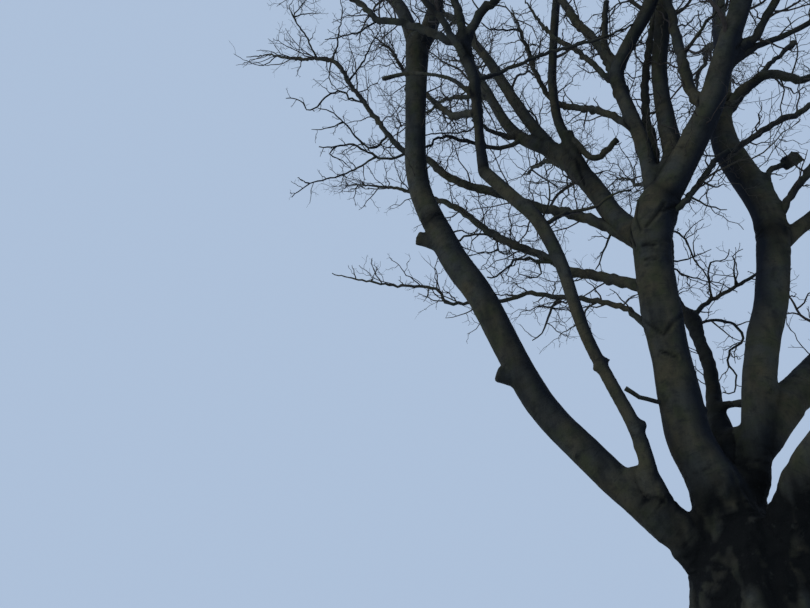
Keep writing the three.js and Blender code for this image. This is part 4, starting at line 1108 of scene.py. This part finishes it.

# How dark the bark is painted: painted shade in crotches, creases, hollows and folds, over the
# fork and the trunk and on the darker limbs, lifted on the burrs; and painted light on the side
# towards the light, with painted shade on the other.
painted_shade = 0.55 * crotch ** 2 + 0.75 * creases * wrinkled * np.clip(0.4 + rough, 0, 1)
painted_shade += 0.35 * fork * np.clip(value_noise(corners, 0.16, 11) + 0.45, 0, 1)
painted_shade += deep * (0.77 + 0.47 * hollows) + 0.75 * folded - pale_burrs
painted_shade = np.clip(painted_shade + np.maximum(darker, 0), 0, 1)
turned_away = ramp(corners[:, 0], 0.15, 0.25) * ramp(corners[:, 1], -0.1, 0.1)
facing = (1 - turned_away) * (normals @ direction(*PAINTED_LIGHT_SIDE))
facing += turned_away * (normals @ direction(*RIGHT_PAINTED_LIGHT_SIDE))
painted_light = 0.52 + 0.95 * facing + 0.24 * value_noise(corners, 0.16, 13)
painted_light = np.clip(painted_light + 0.2 * value_noise(corners, 0.55, 14) - darker, 0, 1)
add_layer(wood, "painted_shade", painted_shade)
add_layer(wood, "painted_light", painted_light)
add_layer(wood, "along", along)


def cut_wood(name, keep_below):
    """The wood below or above the split, closed across the cut."""
    form = bmesh.new()
    form.from_mesh(wood)
    everything = form.verts[:] + form.edges[:] + form.faces[:]
    cut = bmesh.ops.bisect_plane(
        form, geom=everything, plane_co=(0, 0, SPLIT_HEIGHT), plane_no=(0, 0, 1),
        clear_outer=keep_below, clear_inner=not keep_below,
    )
    rims = [part for part in cut["geom_cut"] if isinstance(part, bmesh.types.BMEdge)]
    for face in bmesh.ops.holes_fill(form, edges=rims)["faces"]:
        face.smooth = False
    mesh = bpy.data.meshes.new(name)
    form.to_mesh(mesh)
    form.free()
    return placed(name, mesh)


# The bark is smooth, thin and dark: olive brown with patches of grey-green algae, painted lighter
# on the side towards the light and in blue-black painted shade on the other, stained, with short
# wrinkles across the limb, and near-black painted shade in the folds, crotches and hollows. The
# colours are mixed by noise, and the wrinkles follow each limb.
BARK_OLIVE = (0.066, 0.057, 0.034, 1)
BARK_GREY = (0.047, 0.049, 0.042, 1)
BARK_GREEN = (0.041, 0.046, 0.022, 1)
BARK_DARK = (0.009, 0.01, 0.012, 1)
# Painted shade colours: blue-black on the side away from the light, and near black in crotches,
# creases, folds and hollows.
BARK_PAINTED_SHADED_SIDE = (0.012, 0.015, 0.021, 1)
BARK_PAINTED_DEEP_SHADE = (0.004, 0.0045, 0.0045, 1)
BARK_SPECK = (0.045, 0.048, 0.04, 1)


class Signal:
    """A socket of a node tree that takes part in sums written as Python expressions."""

    def __init__(self, finish, socket):
        self.finish = finish
        self.socket = socket

    def sum(self, operation, *values):
        return self.finish.node("ShaderNodeMath", {"operation": operation}, dict(enumerate(values)))

    def __add__(self, other):
        return self.sum("ADD", self, other)

    def __sub__(self, other):
        return self.sum("SUBTRACT", self, other)

    def __rsub__(self, other):
        return self.sum("SUBTRACT", other, self)

    def __mul__(self, other):
        return self.sum("MULTIPLY", self, other)

    __radd__ = __add__
    __rmul__ = __mul__

    def between(self, low, high):
        """From 0 at one value to 1 at another, and no further."""
        scaled = {"operation": "DIVIDE", "use_clamp": True}
        return self.finish.node("ShaderNodeMath", scaled, {0: self - low, 1: high - low})


class Finish:
    """A material, and the one method that adds nodes to it."""

    def __init__(self, name, roughness, specular):
        self.material = bpy.data.materials.new(name)
        self.material.use_nodes = True
        self.tree = self.material.node_tree
        self.shader = self.tree.nodes["Principled BSDF"]
        self.shader.inputs["Roughness"].default_value = roughness
        self.shader.inputs["Specular IOR Level"].default_value = specular

    def node(self, kind, settings, sockets, output=0):
        node = self.tree.nodes.new(kind)
        for key, value in settings.items():
            setattr(node, key, value)
        for key, value in sockets.items():
            if isinstance(value, Signal):
                self.tree.links.new(value.socket, node.inputs[key])
            else:
                node.inputs[key].default_value = value
        return Signal(self, node.outputs[output])

    def noise(self, vector, scale, detail, roughness=0.5):
        sockets = {"Vector": vector, "Scale": scale, "Detail": detail, "Roughness": roughness}
        return self.node("ShaderNodeTexNoise", {}, sockets)

    def mix(self, factor, first, second):
        sockets = {0: factor, 6: first, 7: second}
        return self.node("ShaderNodeMix", {"data_type": "RGBA"}, sockets, 2)

    def stretch(self, vector, factors):
        settings = {"operation": "MULTIPLY"}
        return self.node("ShaderNodeVectorMath", settings, {0: vector, 1: factors})

    def feed(self, name, signal):
        self.tree.links.new(signal.socket, self.shader.inputs[name])

    def bump(self, height, strength, distance):
        sockets = {"Height": height, "Strength": strength, "Distance": distance}
        self.feed("Normal", self.node("ShaderNodeBump", {}, sockets))


def bark_finish():
    finish = Finish("old_bark", 0.86, 0.1)
    place = finish.node("ShaderNodeTexCoord", {}, {}, "Object")
    along = finish.node("ShaderNodeAttribute", {"attribute_name": "along"}, {}, "Vector")
    painted_shade = finish.node("ShaderNodeAttribute", {"attribute_name": "painted_shade"}, {}, "Fac")
    painted_light = finish.node("ShaderNodeAttribute", {"attribute_name": "painted_light"}, {}, "Fac")
    patches = finish.noise(place, 3.4, 4).between(0.38, 0.62)
    algae = finish.noise(place, 8.0, 4).between(0.45, 0.68)
    blotches = finish.noise(place, 15.0, 5, 0.62).between(0.5, 0.66)
    stains = finish.noise(finish.stretch(place, (5.5, 5.5, 1.1)), 1.0, 4, 0.6).between(0.46, 0.68)
    wrinkles = finish.noise(finish.stretch(along, (9, 9, 52)), 1.0, 3, 0.55)
    grain = finish.noise(place, 95.0, 4, 0.65)
    colour = finish.mix(patches, BARK_OLIVE, BARK_GREY)
    colour = finish.mix(algae * 0.7, colour, BARK_GREEN)
    # Painted light and shade: the bark paler on the side towards the light, blue-black on the
    # other.
    colour = finish.mix(painted_light.between(0.15, 0.85), BARK_PAINTED_SHADED_SIDE, colour)
    colour = finish.mix(stains * 0.6, colour, BARK_DARK)
    colour = finish.mix(blotches * 0.45, colour, BARK_DARK)
    colour = finish.mix(wrinkles.between(0.58, 0.72) * 0.4, colour, BARK_DARK)
    colour = finish.mix(grain.between(0.5, 0.75) * 0.3, colour, BARK_DARK)
    # Painted shade: near black in crotches, creases, folds and hollows, on the fork and trunk, and
    # on the darker limbs.
    colour = finish.mix(painted_shade.between(0.1, 0.95), colour, BARK_PAINTED_DEEP_SHADE)
    specks = finish.noise(place, 24.0, 5, 0.7).between(0.6, 0.78)
    finish.feed("Base Color", finish.mix(specks * painted_shade * 0.4, colour, BARK_SPECK))
    finish.feed("Roughness", 0.78 + 0.16 * grain)
    finish.bump(wrinkles * 0.5 + grain * 0.4 + blotches * 0.2, 0.75, 0.006)
    return finish.material


old_bark = bark_finish()
wood_below = cut_wood("wood_trunk_and_lower_boughs", True)
wood_above = cut_wood("wood_upper_boughs", False)
for piece in (wood_below, wood_above):
    piece.data.materials.append(old_bark)
    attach(piece, "root")
upper_nodes = [
    "bough_left_upper", "bough_left_prong_outer", "bough_left_prong_inner",
    "bough_front_left_upper", "bough_pruned_left", "bough_centre_left", "bough_centre_right",
    "bough_centre_back", "bough_left_rear_outer", "bough_left_rear_inner", "bough_upright",
    "bough_right_upper", "bough_right_outer",
]
lower_nodes = ["trunk"] + [name for name in boughs if name not in upper_nodes]
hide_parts(*lower_nodes)
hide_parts(*upper_nodes)


# The slender limbs themselves are the same wood as the boughs, one skin from their fused feet to
# the tips, with the knots and small kinks of slow growth. They stay inside the crown.
KNOT_SPACING = 0.24
BENDS = [(0.45, 0.055), (0.15, 0.014)]
BEND_FREE = 0.5
TRACED_BEND = 0.2
CHAIN_STEP = 0.15
PLACES_AT_ONCE = 4000
# How far along a limb its tube starts: beyond a fused foot, or else a little inside its parent.
ROOTED_START = 0.03
SUNK_START = -0.01
LEAST_RADIUS = 0.003
limb_random = np.random.default_rng(7)


def chain_of(limb):
    """A limb as short segments: their starts, spans and larger radii."""
    distances = np.linspace(0, limb.length, math.ceil(limb.length / CHAIN_STEP) + 1)
    points = limb.course.at(distances)[0]
    radii = limb.radius(distances)
    return points[:-1], np.diff(points, axis=0), np.maximum(radii[:-1], radii[1:])


def joined_chains(limbs):
    """The segments of many limbs as one, with the number of the limb that each belongs to."""
    chains = [chain_of(limb) for limb in limbs]
    owners = np.repeat(np.arange(len(chains)), [len(chain[0]) for chain in chains])
    return (*[np.concatenate(rows) for rows in zip(*chains)], owners)


bough_chains = joined_chains(boughs.values())


def room_at(places):
    """How far each of many places is from the nearest bough, taken some thousands at a time."""
    room = []
    for first in range(0, len(places), PLACES_AT_ONCE):
        some = places[first:first + PLACES_AT_ONCE]
        away = line_distances(some, bough_chains) - bough_chains[2]
        room.append(away.min(axis=1))
    return np.concatenate(room)


def bent(line, amount):
    """A line with the slow bends of growth, which fade out where it nears a bough."""
    fade = amount * ramp(room_at(line), 0, BEND_FREE)
    for size, height in BENDS:
        shift = [value_noise(line, size, 41 + axis) for axis in range(3)]
        line = line + (height * fade)[:, None] * np.stack(shift, axis=-1)
    return line


class Drawn:
    """The line and radii that a slender limb is drawn with."""

    def __init__(self, limb, parent):
        self.limb = limb
        self.bend = TRACED_BEND if "runs" in limb.notes else 1
        self.start = ROOTED_START if limb.radius(0.0) > ROOTED_RADIUS else SUNK_START
        count = max(8, round((limb.length - self.start) / STEM_RING))
        distances = np.linspace(self.start, limb.length, count)
        line, ahead, sides = limb.course.at(distances)
        kink = min(STEM_WOBBLE, 0.4 * limb.radius(0.0)) * limb_random.normal(size=(count, 2))
        kink[:2] = 0
        line = line + kink[:, :1] * sides + kink[:, 1:] * np.cross(ahead, sides)
        self.line = bent(line, self.bend)
        if parent is not None:
            self.line += parent.at(limb.notes["at"]) - self.line[0]
        knots = np.sin(distances * math.tau / KNOT_SPACING + limb_random.uniform(0, 6)) ** 8
        radii = limb.radius(distances) * (1 + 0.1 * knots + 0.05 * limb_random.normal(size=count))
        self.radii = np.maximum(radii, LEAST_RADIUS)

    def at(self, distance):
        place = (distance - self.start) / (self.limb.length - self.start) * (len(self.line) - 1)
        steps = np.arange(len(self.line))
        return np.stack([np.interp(place, steps, self.line[:, k]) for k in range(3)], axis=-1)


drawn = {}
for name, limb in {**stems, **side_limbs, **long_twigs}.items():
    drawn[name] = Drawn(limb, drawn.get(limb.notes["parent"]))
slender_forms = [tubes(one.line[None], one.radii[None], STEM_SIDES) for one in drawn.values()]
slender = mesh_object("slender_limbs", *joined(slender_forms))
corners = read_corners(slender.data)
# Painted light and shade on the slender limbs: paler on the side towards the light, darker on the
# other.
painted_light = 0.55 + 0.6 * (read_normals(slender.data) @ direction(*PAINTED_LIGHT_SIDE))
add_layer(slender.data, "painted_light", painted_light + 0.4 * value_noise(corners, 0.14, 15))
add_layer(slender.data, "along", corners)
slender.data.materials.append(old_bark)
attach(slender, "root")


# The twigs grow on from the slender limbs by the source's rule: shoots lean away from their
# parent, each turned by the golden angle from the last, wander a little and lift to the light.
# The source's own twigs come first, with its seeds, so they keep its reach.
CROWN_BASE = 2.5
CROWN_TOP = 12.6
CROWN_RADIUS = 5.4
WIDEST_HEIGHT = 8.9
TWIG = dict(radius=0.016, lean=40, spread=22, first=0.16, over=0.8, bends=2)
GOLDEN_ANGLE = 137.5
GOLDEN_RATIO = 0.618
WANDER = 0.45
CLEARANCE = 0.006
TEST_STEP = 0.07
LINE_POINTS = 11
TWIG_SLENDERNESS = 0.6
GNARL = 0.22
twig_random = np.random.default_rng(31)


def crown_reach(height):
    below = (height - CROWN_BASE) / (WIDEST_HEIGHT - CROWN_BASE)
    above = (height - WIDEST_HEIGHT) / (CROWN_TOP - WIDEST_HEIGHT)
    low = np.sqrt(np.clip(below, 0, None))
    high = np.sqrt(np.clip(1 - above * above, 0, None))
    return CROWN_RADIUS * np.where(height < WIDEST_HEIGHT, low, high)


def seeded(seed):
    """The source's own random numbers, the same every time from a seed."""
    state = (seed * 0x9E3779B1) & 0xFFFFFFFF
    while True:
        state = (state + 0x6D2B79F5) & 0xFFFFFFFF
        mixed = ((state ^ (state >> 15)) * (state | 1)) & 0xFFFFFFFF
        mixed ^= (mixed + (((mixed ^ (mixed >> 7)) * (mixed | 61)) & 0xFFFFFFFF)) & 0xFFFFFFFF
        yield ((mixed ^ (mixed >> 14)) & 0xFFFFFFFF) / 4294967296


stem_chains = joined_chains(stems.values())


def may_grow(course, radius, owner):
    """Whether a twig stays in the crown, nearest its own limb, and clear of the boughs."""
    checks = math.ceil(course.length / TEST_STEP)
    places = course.at(course.length * np.arange(1, checks + 1) / checks)[0]
    if (np.hypot(places[:, 0], places[:, 1]) > crown_reach(places[:, 2])).any():
        return False
    away = line_distances(places, stem_chains)
    mine = stem_chains[3] == owner
    if (away[:, ~mine].min(axis=1) < away[:, mine].min(axis=1) + 2 * radius).any():
        return False
    return bool((room_at(places) > radius + CLEARANCE).all())


def turned(side, axis, angle):
    return math.cos(angle) * side + math.sin(angle) * np.cross(axis, side)


def shoot(parent, distance, index, lean, length, bends, random):
    """One shoot by the source's rule, from a course."""
    point, tangent, side = parent.at(distance)
    outward = turned(side, tangent, math.radians(index * GOLDEN_ANGLE + 40 * next(random)))
    way = math.cos(math.radians(lean)) * tangent + math.sin(math.radians(lean)) * outward
    ends = [point]
    for _ in range(bends):
        wander = np.array([next(random) - 0.5, next(random) - 0.5, next(random) - 0.2])
        way = unit(way + WANDER * wander)
        ends.append(ends[-1] + way * length / bends)
    return Course(ends)


def gnarled(line, random):
    """A line that turns a little at each bud, and stays where it was if it meets a bough."""
    steps = np.linalg.norm(np.diff(line, axis=0), axis=1)[:, None]
    turns = np.cumsum(GNARL * steps * random.normal(size=(len(steps), 3)), axis=0)
    crooked = line + np.concatenate([np.zeros((1, 3)), turns])
    return crooked if (room_at(crooked[1:]) > CLEARANCE).all() else line


def source_twigs(name, stem, owner):
    """The twigs that the source grows on one slender limb, as lines and base radii."""
    notes = stem.notes
    grown = []
    for bud in range(4 * notes["twigs"]):
        if len(grown) == notes["twigs"]:
            break
        random = seeded(notes["seed"] * 1000 + bud)
        share = TWIG["first"] + TWIG["over"] * ((bud * GOLDEN_RATIO + 0.35) % 1)
        distance = share * stem.length
        lean = TWIG["lean"] + TWIG["spread"] * next(random)
        length = notes["reach"] * (1.1 - 0.45 * share) * (0.7 + 0.4 * next(random))
        base = min(TWIG["radius"], 0.8 * float(stem.radius(distance)))
        twig = shoot(stem.course, distance, bud, lean, length, TWIG["bends"], random)
        if may_grow(twig, base, owner):
            line = bent(twig.at(np.linspace(0, twig.length, LINE_POINTS))[0], drawn[name].bend)
            line += drawn[name].at(distance) - line[0]
            grown.append((gnarled(line, twig_random), TWIG_SLENDERNESS * base))
    return grown


# Finer wood follows the same rule, many shoots at a time: branches on the outer limbs, more twigs
# on those and on every slender limb, then side twigs, and spurs on the side twigs. They zigzag
# from bud to bud and fork wide.
FINER = {
    "branch": dict(spacing=0.5, most=9, lean=(34, 26), reach=(0.85, 1.75), bends=6, steps=3,
                   zigzag=0.22, wander=0.42, lift=0.12, radius=(0.017, 0.0035), sides=6),
    "twig": dict(spacing=0.135, most=45, lean=(40, 34), reach=(0.22, 0.85), bends=5, steps=2,
                 zigzag=0.3, wander=0.55, lift=0.16, radius=(0.0075, 0.0026), sides=5),
    "side": dict(spacing=0.1, most=9, lean=(42, 34), reach=(0.26, 0.6), bends=4, steps=1,
                 zigzag=0.36, wander=0.6, lift=0.1, radius=(0.0034, 0.0018), sides=3),
    "spur": dict(spacing=0.085, most=3, lean=(38, 36), reach=(0.3, 0.6), bends=2, steps=1,
                 zigzag=0.3, wander=0.5, lift=0.08, radius=(0.0021, 0.0013), sides=3),
}
# Where the photo shows gaps in the crown, none grow in these balls: a centre and a radius.
CROWN_GAPS = [
    ((-4.45, -0.15, 8.3), 0.45), ((-2.35, 1.01, 7.58), 0.42), ((-2.73, 1.9, 8.55), 0.42),
    ((-1.39, 0.74, 5.82), 0.34), ((-1.6, 1.54, 6.46), 0.4), ((-1.84, 2.41, 7.16), 0.5),
    ((-2.12, 2.13, 6.93), 0.45), ((0.7, 2.42, 8.01), 0.34), ((0.77, 3.11, 8.65), 0.34),
    ((0.38, 3.6, 8.53), 0.36), ((-1, 0.29, 7.45), 0.28), ((0.7, 2.48, 8.78), 0.34),
    ((-0.9, -0.2, 6.84), 0.28), ((-2.06, 0.32, 6.83), 0.34),
]
CARRIER_POINTS = 160
BRANCH_REACH = 0.95
BRANCH_TWIG_REACH = 0.55
FINER_CLEARANCE = 0.004
BOX_MARGIN = 0.01
box_low, box_high = np.array(cad_box)


def line_lengths(lines):
    return np.linalg.norm(np.diff(lines, axis=1), axis=-1).sum(axis=1)


def shoots(lines, parents, shares, turns, lengths, rule):
    """The ends of many shoots, by the same rule, from places along their parents' lines."""
    place = shares * (lines.shape[1] - 1)
    index = np.minimum(place.astype(int), lines.shape[1] - 2)
    mix = (place - index)[:, None]
    start = lines[parents, index] * (1 - mix) + lines[parents, index + 1] * mix
    ahead, sides = carried_sides(lines)
    tangent = ahead[parents, index]
    side = sides[parents, index]
    other = np.cross(tangent, side)
    outward = np.cos(turns)[:, None] * side + np.sin(turns)[:, None] * other
    least, spread = rule["lean"]
    lean = np.radians(least + spread * twig_random.random(len(parents)))[:, None]
    way = np.cos(lean) * tangent + np.sin(lean) * outward
    zig = unit(np.cross(way, twig_random.normal(size=way.shape)))
    ends = [start]
    for bend in range(rule["bends"]):
        wander = twig_random.random(way.shape) - 0.5
        wander[:, 2] += rule["lift"]
        kink = rule["zigzag"] * (1 if bend % 2 else -1) * zig
        way = unit(way + rule["wander"] * wander)
        step = unit(way + kink) * (lengths / rule["bends"])[:, None]
        ends.append(ends[-1] + step)
    return np.stack(ends, axis=1)


def grown_on(parent, reach, rule):
    """A finer order of twigs on another: lines, radii, and what part and spray they belong to."""
    lengths = line_lengths(parent["lines"])
    counts = np.clip(np.round(lengths / rule["spacing"]), 1, rule["most"]).astype(int)
    parents = np.repeat(np.arange(len(counts)), counts)
    order = np.arange(len(parents)) - np.repeat(np.cumsum(counts) - counts, counts)
    shares = (order + 0.2 + 0.7 * twig_random.random(len(parents))) / counts[parents]
    shares = parent["first"] + (1 - parent["first"]) * np.clip(shares, 0, 0.97)
    turns = np.radians(order * GOLDEN_ANGLE + 50 * twig_random.random(len(parents)))
    turns += 2.0 * parents
    low, high = rule["reach"]
    part = low + (high - low) * twig_random.random(len(parents))
    lengths = reach[parents] * part * (1.15 - 0.5 * shares)
    ends = shoots(parent["lines"], parents, shares, turns, lengths, rule)
    lines = smooth_lines(ends, rule["steps"])
    thick = parent["radii"][parents] * (1 - 0.6 * shares)
    radii = np.minimum(rule["radius"][0], 0.75 * thick)
    tests = ends[:, 1:].reshape(-1, 3)
    inside = np.hypot(tests[:, 0], tests[:, 1]) < crown_reach(tests[:, 2])
    inside &= ((tests > box_low + BOX_MARGIN) & (tests < box_high - BOX_MARGIN)).all(axis=1)
    inside &= room_at(tests) > FINER_CLEARANCE
    for centre, radius in CROWN_GAPS:
        inside &= np.linalg.norm(tests - centre, axis=1) > radius
    keep = inside.reshape(len(ends), -1).all(axis=1)
    tips = np.minimum(rule["radius"][1], 0.8 * radii)
    return dict(lines=lines[keep], radii=radii[keep], tips=tips[keep], first=0.22,
                group=parent["group"][parents][keep], spray=parent["spray"][parents][keep],
                sides=rule["sides"])


# The pieces that the crown's twigs are joined into, and the masses that each replaces.
CROWN_PARTS = {
    "twigs_of_left_crown": ["twigs_left_far", "twigs_left_middle", "twigs_left_low",
                            "twigs_left_crossing"],
    "twigs_of_left_prongs": ["twigs_left_prong_outer", "twigs_left_prong_inner",
                             "twigs_left_prong_side"],
    "twigs_of_front_left_crown": ["twigs_front_left", "twigs_front_crossing",
                                  "twigs_front_left_outer", "twigs_front_left_forward"],
    "twigs_of_rear_left_crown": ["twigs_rear_left_outer", "twigs_rear_left_inner",
                                 "twigs_rear_left_side", "twigs_rear_left_low"],
    "twigs_of_centre_crown": ["twigs_centre_slender", "twigs_centre_left", "twigs_centre_wander",
                              "twigs_upright", "twigs_crown_top", "twigs_crown_right"],
    "twigs_of_front_crown": ["twigs_front_top", "twigs_front", "twigs_front_right_top",
                             "twigs_centre_upright", "twigs_right_crossing"],
    "twigs_of_right_crown": ["twigs_right_inner", "twigs_right_upright", "twigs_right_outer",
                             "twigs_right_front", "twigs_right_front_side", "twigs_right_low"],
    "twigs_of_rear_crown": ["twigs_rear_top", "twigs_rear_high", "twigs_right_rear",
                            "twigs_rear"],
}
# The boughs that grow branches of their own and short sprouts, and the parts that those belong
# to. What grows on the side limbs and long twigs all belongs to the centre crown.
BOUGH_PARTS = {
    "bough_left_upper": "left_crown",
    "bough_left_prong_outer": "left_prongs", "bough_left_prong_inner": "left_prongs",
    "bough_left_rear_outer": "rear_left_crown", "bough_left_rear_inner": "rear_left_crown",
    "bough_upright": "centre_crown", "bough_centre_back": "rear_crown",
    "bough_centre_left": "front_crown", "bough_centre_right": "front_crown",
    "bough_right_upper": "rear_crown", "bough_right_outer": "right_crown",
    "bough_right_rear": "rear_crown", "bough_right_front": "right_crown",
    "bough_right_low": "right_crown", "bough_rear": "rear_crown",
}
# How much of a bough, from its foot, is bare of branches, where it isn't the usual share.
BRANCH_FREE = {"bough_rear": 0.8, "bough_right_upper": 0.6}
USUAL_BRANCH_FREE = 0.3
SPROUT_SPACING = 0.16
SPROUT_LENGTHS = (0.1, 0.4)
SPROUT_HEIGHT = 3.0
SPROUT_RADII = (0.0042, 0.0022)
SOURCE_TIP = 0.0028
CARRIER_RADIUS = 0.05
part_numbers = {name: number for number, name in enumerate(CROWN_PARTS)}
centre_part = part_numbers["twigs_of_centre_crown"]
part_of = {node: part_numbers[name] for name, nodes in CROWN_PARTS.items() for node in nodes}
part_of.update({name: part_numbers[f"twigs_of_{part}"] for name, part in BOUGH_PARTS.items()})
lines, radii, groups = [], [], []
for owner, (name, stem) in enumerate(stems.items()):
    for line, radius in source_twigs(name, stem, owner):
        lines.append(line)
        radii.append(radius)
        groups.append(part_of[name])
source_count = len(lines)
source_order = dict(
    lines=np.array(lines), radii=np.array(radii), tips=np.full(source_count, SOURCE_TIP),
    group=np.array(groups), spray=np.arange(source_count), first=0.15, sides=5,
)


def carrier_order(rows):
    """Limbs in the form of an order of twigs, and their reaches."""
    lines, radii, groups, reaches = map(np.array, zip(*rows))
    order = dict(lines=lines, radii=radii, group=groups, spray=np.arange(len(rows)), first=0.08)
    return order, reaches


def together(*orders):
    """Several orders of twigs as one."""
    keys = ("lines", "radii", "tips", "group", "spray")
    rows = {key: np.concatenate([order[key] for order in orders]) for key in keys}
    return dict(rows, first=orders[0]["first"], sides=orders[0]["sides"])


slender_rows = []
outer_rows = []
for name, one in drawn.items():
    limb = one.limb
    if limb.notes["reach"]:
        line = one.at(np.linspace(one.start, limb.length, CARRIER_POINTS))
        radius = float(limb.radius(0.3 * limb.length))
        row = (line, radius, part_of.get(name, centre_part), limb.notes["reach"])
        slender_rows.append(row)
        if one.bend == 1:
            outer_rows.append(row)
for name in BOUGH_PARTS:
    limb = boughs[name]
    start = BRANCH_FREE.get(name, USUAL_BRANCH_FREE) * limb.length
    line = limb.course.at(np.linspace(start, limb.length, CARRIER_POINTS))[0]
    outer_rows.append((line, CARRIER_RADIUS, part_of[name], BRANCH_REACH))


def sprouts():
    """Short shoots straight out of the bark of the boughs."""
    rows = []
    for name in BOUGH_PARTS:
        limb = boughs[name]
        count = round(limb.length / SPROUT_SPACING)
        distances = limb.length * twig_random.uniform(0.1, 0.95, count)
        point, tangent, side = limb.course.at(distances)
        turn = twig_random.uniform(0, math.tau, count)[:, None]
        outward = np.cos(turn) * side + np.sin(turn) * np.cross(tangent, side)
        foot = point + 0.85 * limb.radius(distances)[:, None] * outward
        way = unit(outward + 0.3 * tangent + (0, 0, 0.45))
        high = point[:, 2] > SPROUT_HEIGHT
        foot, way, count = foot[high], way[high], int(high.sum())
        length = twig_random.uniform(*SPROUT_LENGTHS, count)[:, None, None]
        steps = way[:, None] + 0.35 * twig_random.normal(size=(count, LINE_POINTS - 1, 3))
        line = np.cumsum(steps * length / (LINE_POINTS - 1), axis=1) + foot[:, None]
        radii, tips = (np.full(count, radius) for radius in SPROUT_RADII)
        rows.append(dict(
            lines=np.concatenate([foot[:, None], line], axis=1), radii=radii, tips=tips,
            group=np.full(count, part_of[name]), spray=np.arange(count), first=0.1, sides=5,
        ))
    return together(*rows)


branches = grown_on(*carrier_order(outer_rows), FINER["branch"])
first_twigs = together(
    source_order,
    grown_on(*carrier_order(slender_rows), FINER["twig"]),
    grown_on(branches, np.full(len(branches["lines"]), BRANCH_TWIG_REACH), FINER["twig"]),
    sprouts(),
)
side_twigs = grown_on(first_twigs, line_lengths(first_twigs["lines"]), FINER["side"])
spurs = grown_on(side_twigs, line_lengths(side_twigs["lines"]), FINER["spur"])


# Young bark on the twigs is thinner and redder than on the boughs. Their colours are three plain
# shades with a faint mottle, dealt out spray by spray over the eight joined pieces of the crown.
TWIG_SHADES = [(0.05, 0.04, 0.034, 1), (0.036, 0.032, 0.028, 1), (0.058, 0.05, 0.036, 1)]


def twig_finish(number, shade):
    finish = Finish(f"twig_bark_{number}", 0.8, 0.25)
    place = finish.node("ShaderNodeTexCoord", {}, {}, "Object")
    mottle = finish.noise(place, 38.0, 2)
    darker = tuple(0.6 * value for value in shade[:3]) + (1,)
    finish.feed("Base Color", finish.mix(mottle.between(0.35, 0.7), shade, darker))
    finish.bump(mottle, 0.4, 0.002)
    return finish.material


twig_barks = [twig_finish(number + 1, shade) for number, shade in enumerate(TWIG_SHADES)]


def twig_form(order, chosen):
    """The closed tubes of the chosen twigs of one order, tapering from foot to tip."""
    lines = order["lines"][chosen]
    taper = np.linspace(0, 1, lines.shape[1])
    feet, tips = order["radii"][chosen, None], order["tips"][chosen, None]
    return tubes(lines, feet + (np.minimum(tips, feet) - feet) * taper, order["sides"])


def dealt(forms, shades):
    """The shade of every face of many forms, in the order in which they are joined."""
    faces = {}
    for (_, quads, caps), shade in zip(forms, shades):
        faces.setdefault(4, []).append(np.full(len(quads), shade))
        faces.setdefault(caps.shape[1], []).append(np.full(len(caps), shade))
    return np.concatenate([value for rows in faces.values() for value in rows])


for number, (name, nodes) in enumerate(CROWN_PARTS.items()):
    forms = []
    shades = []
    for shade in range(len(TWIG_SHADES)):
        for order in (branches, first_twigs, side_twigs, spurs):
            mine = order["spray"] % len(TWIG_SHADES) == shade
            chosen = np.flatnonzero((order["group"] == number) & mine)
            if len(chosen):
                forms.append(twig_form(order, chosen))
                shades.append(shade)
    piece = mesh_object(name, *joined(forms))
    for bark in twig_barks:
        piece.data.materials.append(bark)
    piece.data.polygons.foreach_set("material_index", dealt(forms, shades).astype(np.int32))
    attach(piece, "root")
    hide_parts(*nodes)


# The stand-in studio: a plain pale floor under the tree, an even pale blue surround and one broad
# soft light from the left, where the photographed bark is a little brighter.
FLOOR_RADIUS = 30
FLOOR_DROP = 0.004
FLOOR_CORNERS = 96
FLOOR_COLOUR = (0.62, 0.62, 0.6, 1)
FLOOR_MOTTLE = (0.58, 0.58, 0.57, 1)
SURROUND_COLOUR = (0.42, 0.53, 0.7, 1)
LIGHT_TURN = (52, 0, -52)
LIGHT_SPREAD = 60
LIGHT_STRENGTH = 0.8

floor_angles = np.linspace(0, math.tau, FLOOR_CORNERS, endpoint=False)
floor_points = FLOOR_RADIUS * np.stack([np.cos(floor_angles), np.sin(floor_angles)], axis=-1)
floor_points = np.column_stack([floor_points, np.full(FLOOR_CORNERS, -FLOOR_DROP)])
floor = mesh_object("pale_floor", floor_points, np.arange(FLOOR_CORNERS)[None])
floor_finish = Finish("pale_floor", 0.9, 0.2)
floor_place = floor_finish.node("ShaderNodeTexCoord", {}, {}, "Object")
floor_mottle = floor_finish.noise(floor_place, 0.6, 3)
floor_finish.feed("Base Color", floor_finish.mix(floor_mottle, FLOOR_COLOUR, FLOOR_MOTTLE))
floor.data.materials.append(floor_finish.material)

world = bpy.data.worlds.new("surround")
world.use_nodes = True
world.node_tree.nodes["Background"].inputs["Color"].default_value = SURROUND_COLOUR
bpy.context.scene.world = world
light_data = bpy.data.lights.new("soft_light", "SUN")
light_data.angle = math.radians(LIGHT_SPREAD)
light_data.energy = LIGHT_STRENGTH
light = placed("soft_light", light_data)
light.rotation_euler = [math.radians(angle) for angle in LIGHT_TURN]
bpy.context.scene.view_settings.view_transform = "Standard"


# The camera stands where the photograph was taken from, 4.5 m in front of the trunk at eye
# height, and looks up past it to the left.
EYE = (0.0, -4.5, 1.6)
LOOK_UP = 26.4
LOOK_LEFT = 28.4
FOCAL_LENGTH = 27.05
SENSOR_WIDTH = 36.0

camera_data = bpy.data.cameras.new("camera")
camera_data.lens = FOCAL_LENGTH
camera_data.sensor_width = SENSOR_WIDTH
camera_data.clip_end = 200
camera = placed("camera", camera_data)
camera.location = EYE
camera.rotation_euler = (math.radians(90 + LOOK_UP), 0, math.radians(LOOK_LEFT))
bpy.context.scene.camera = camera
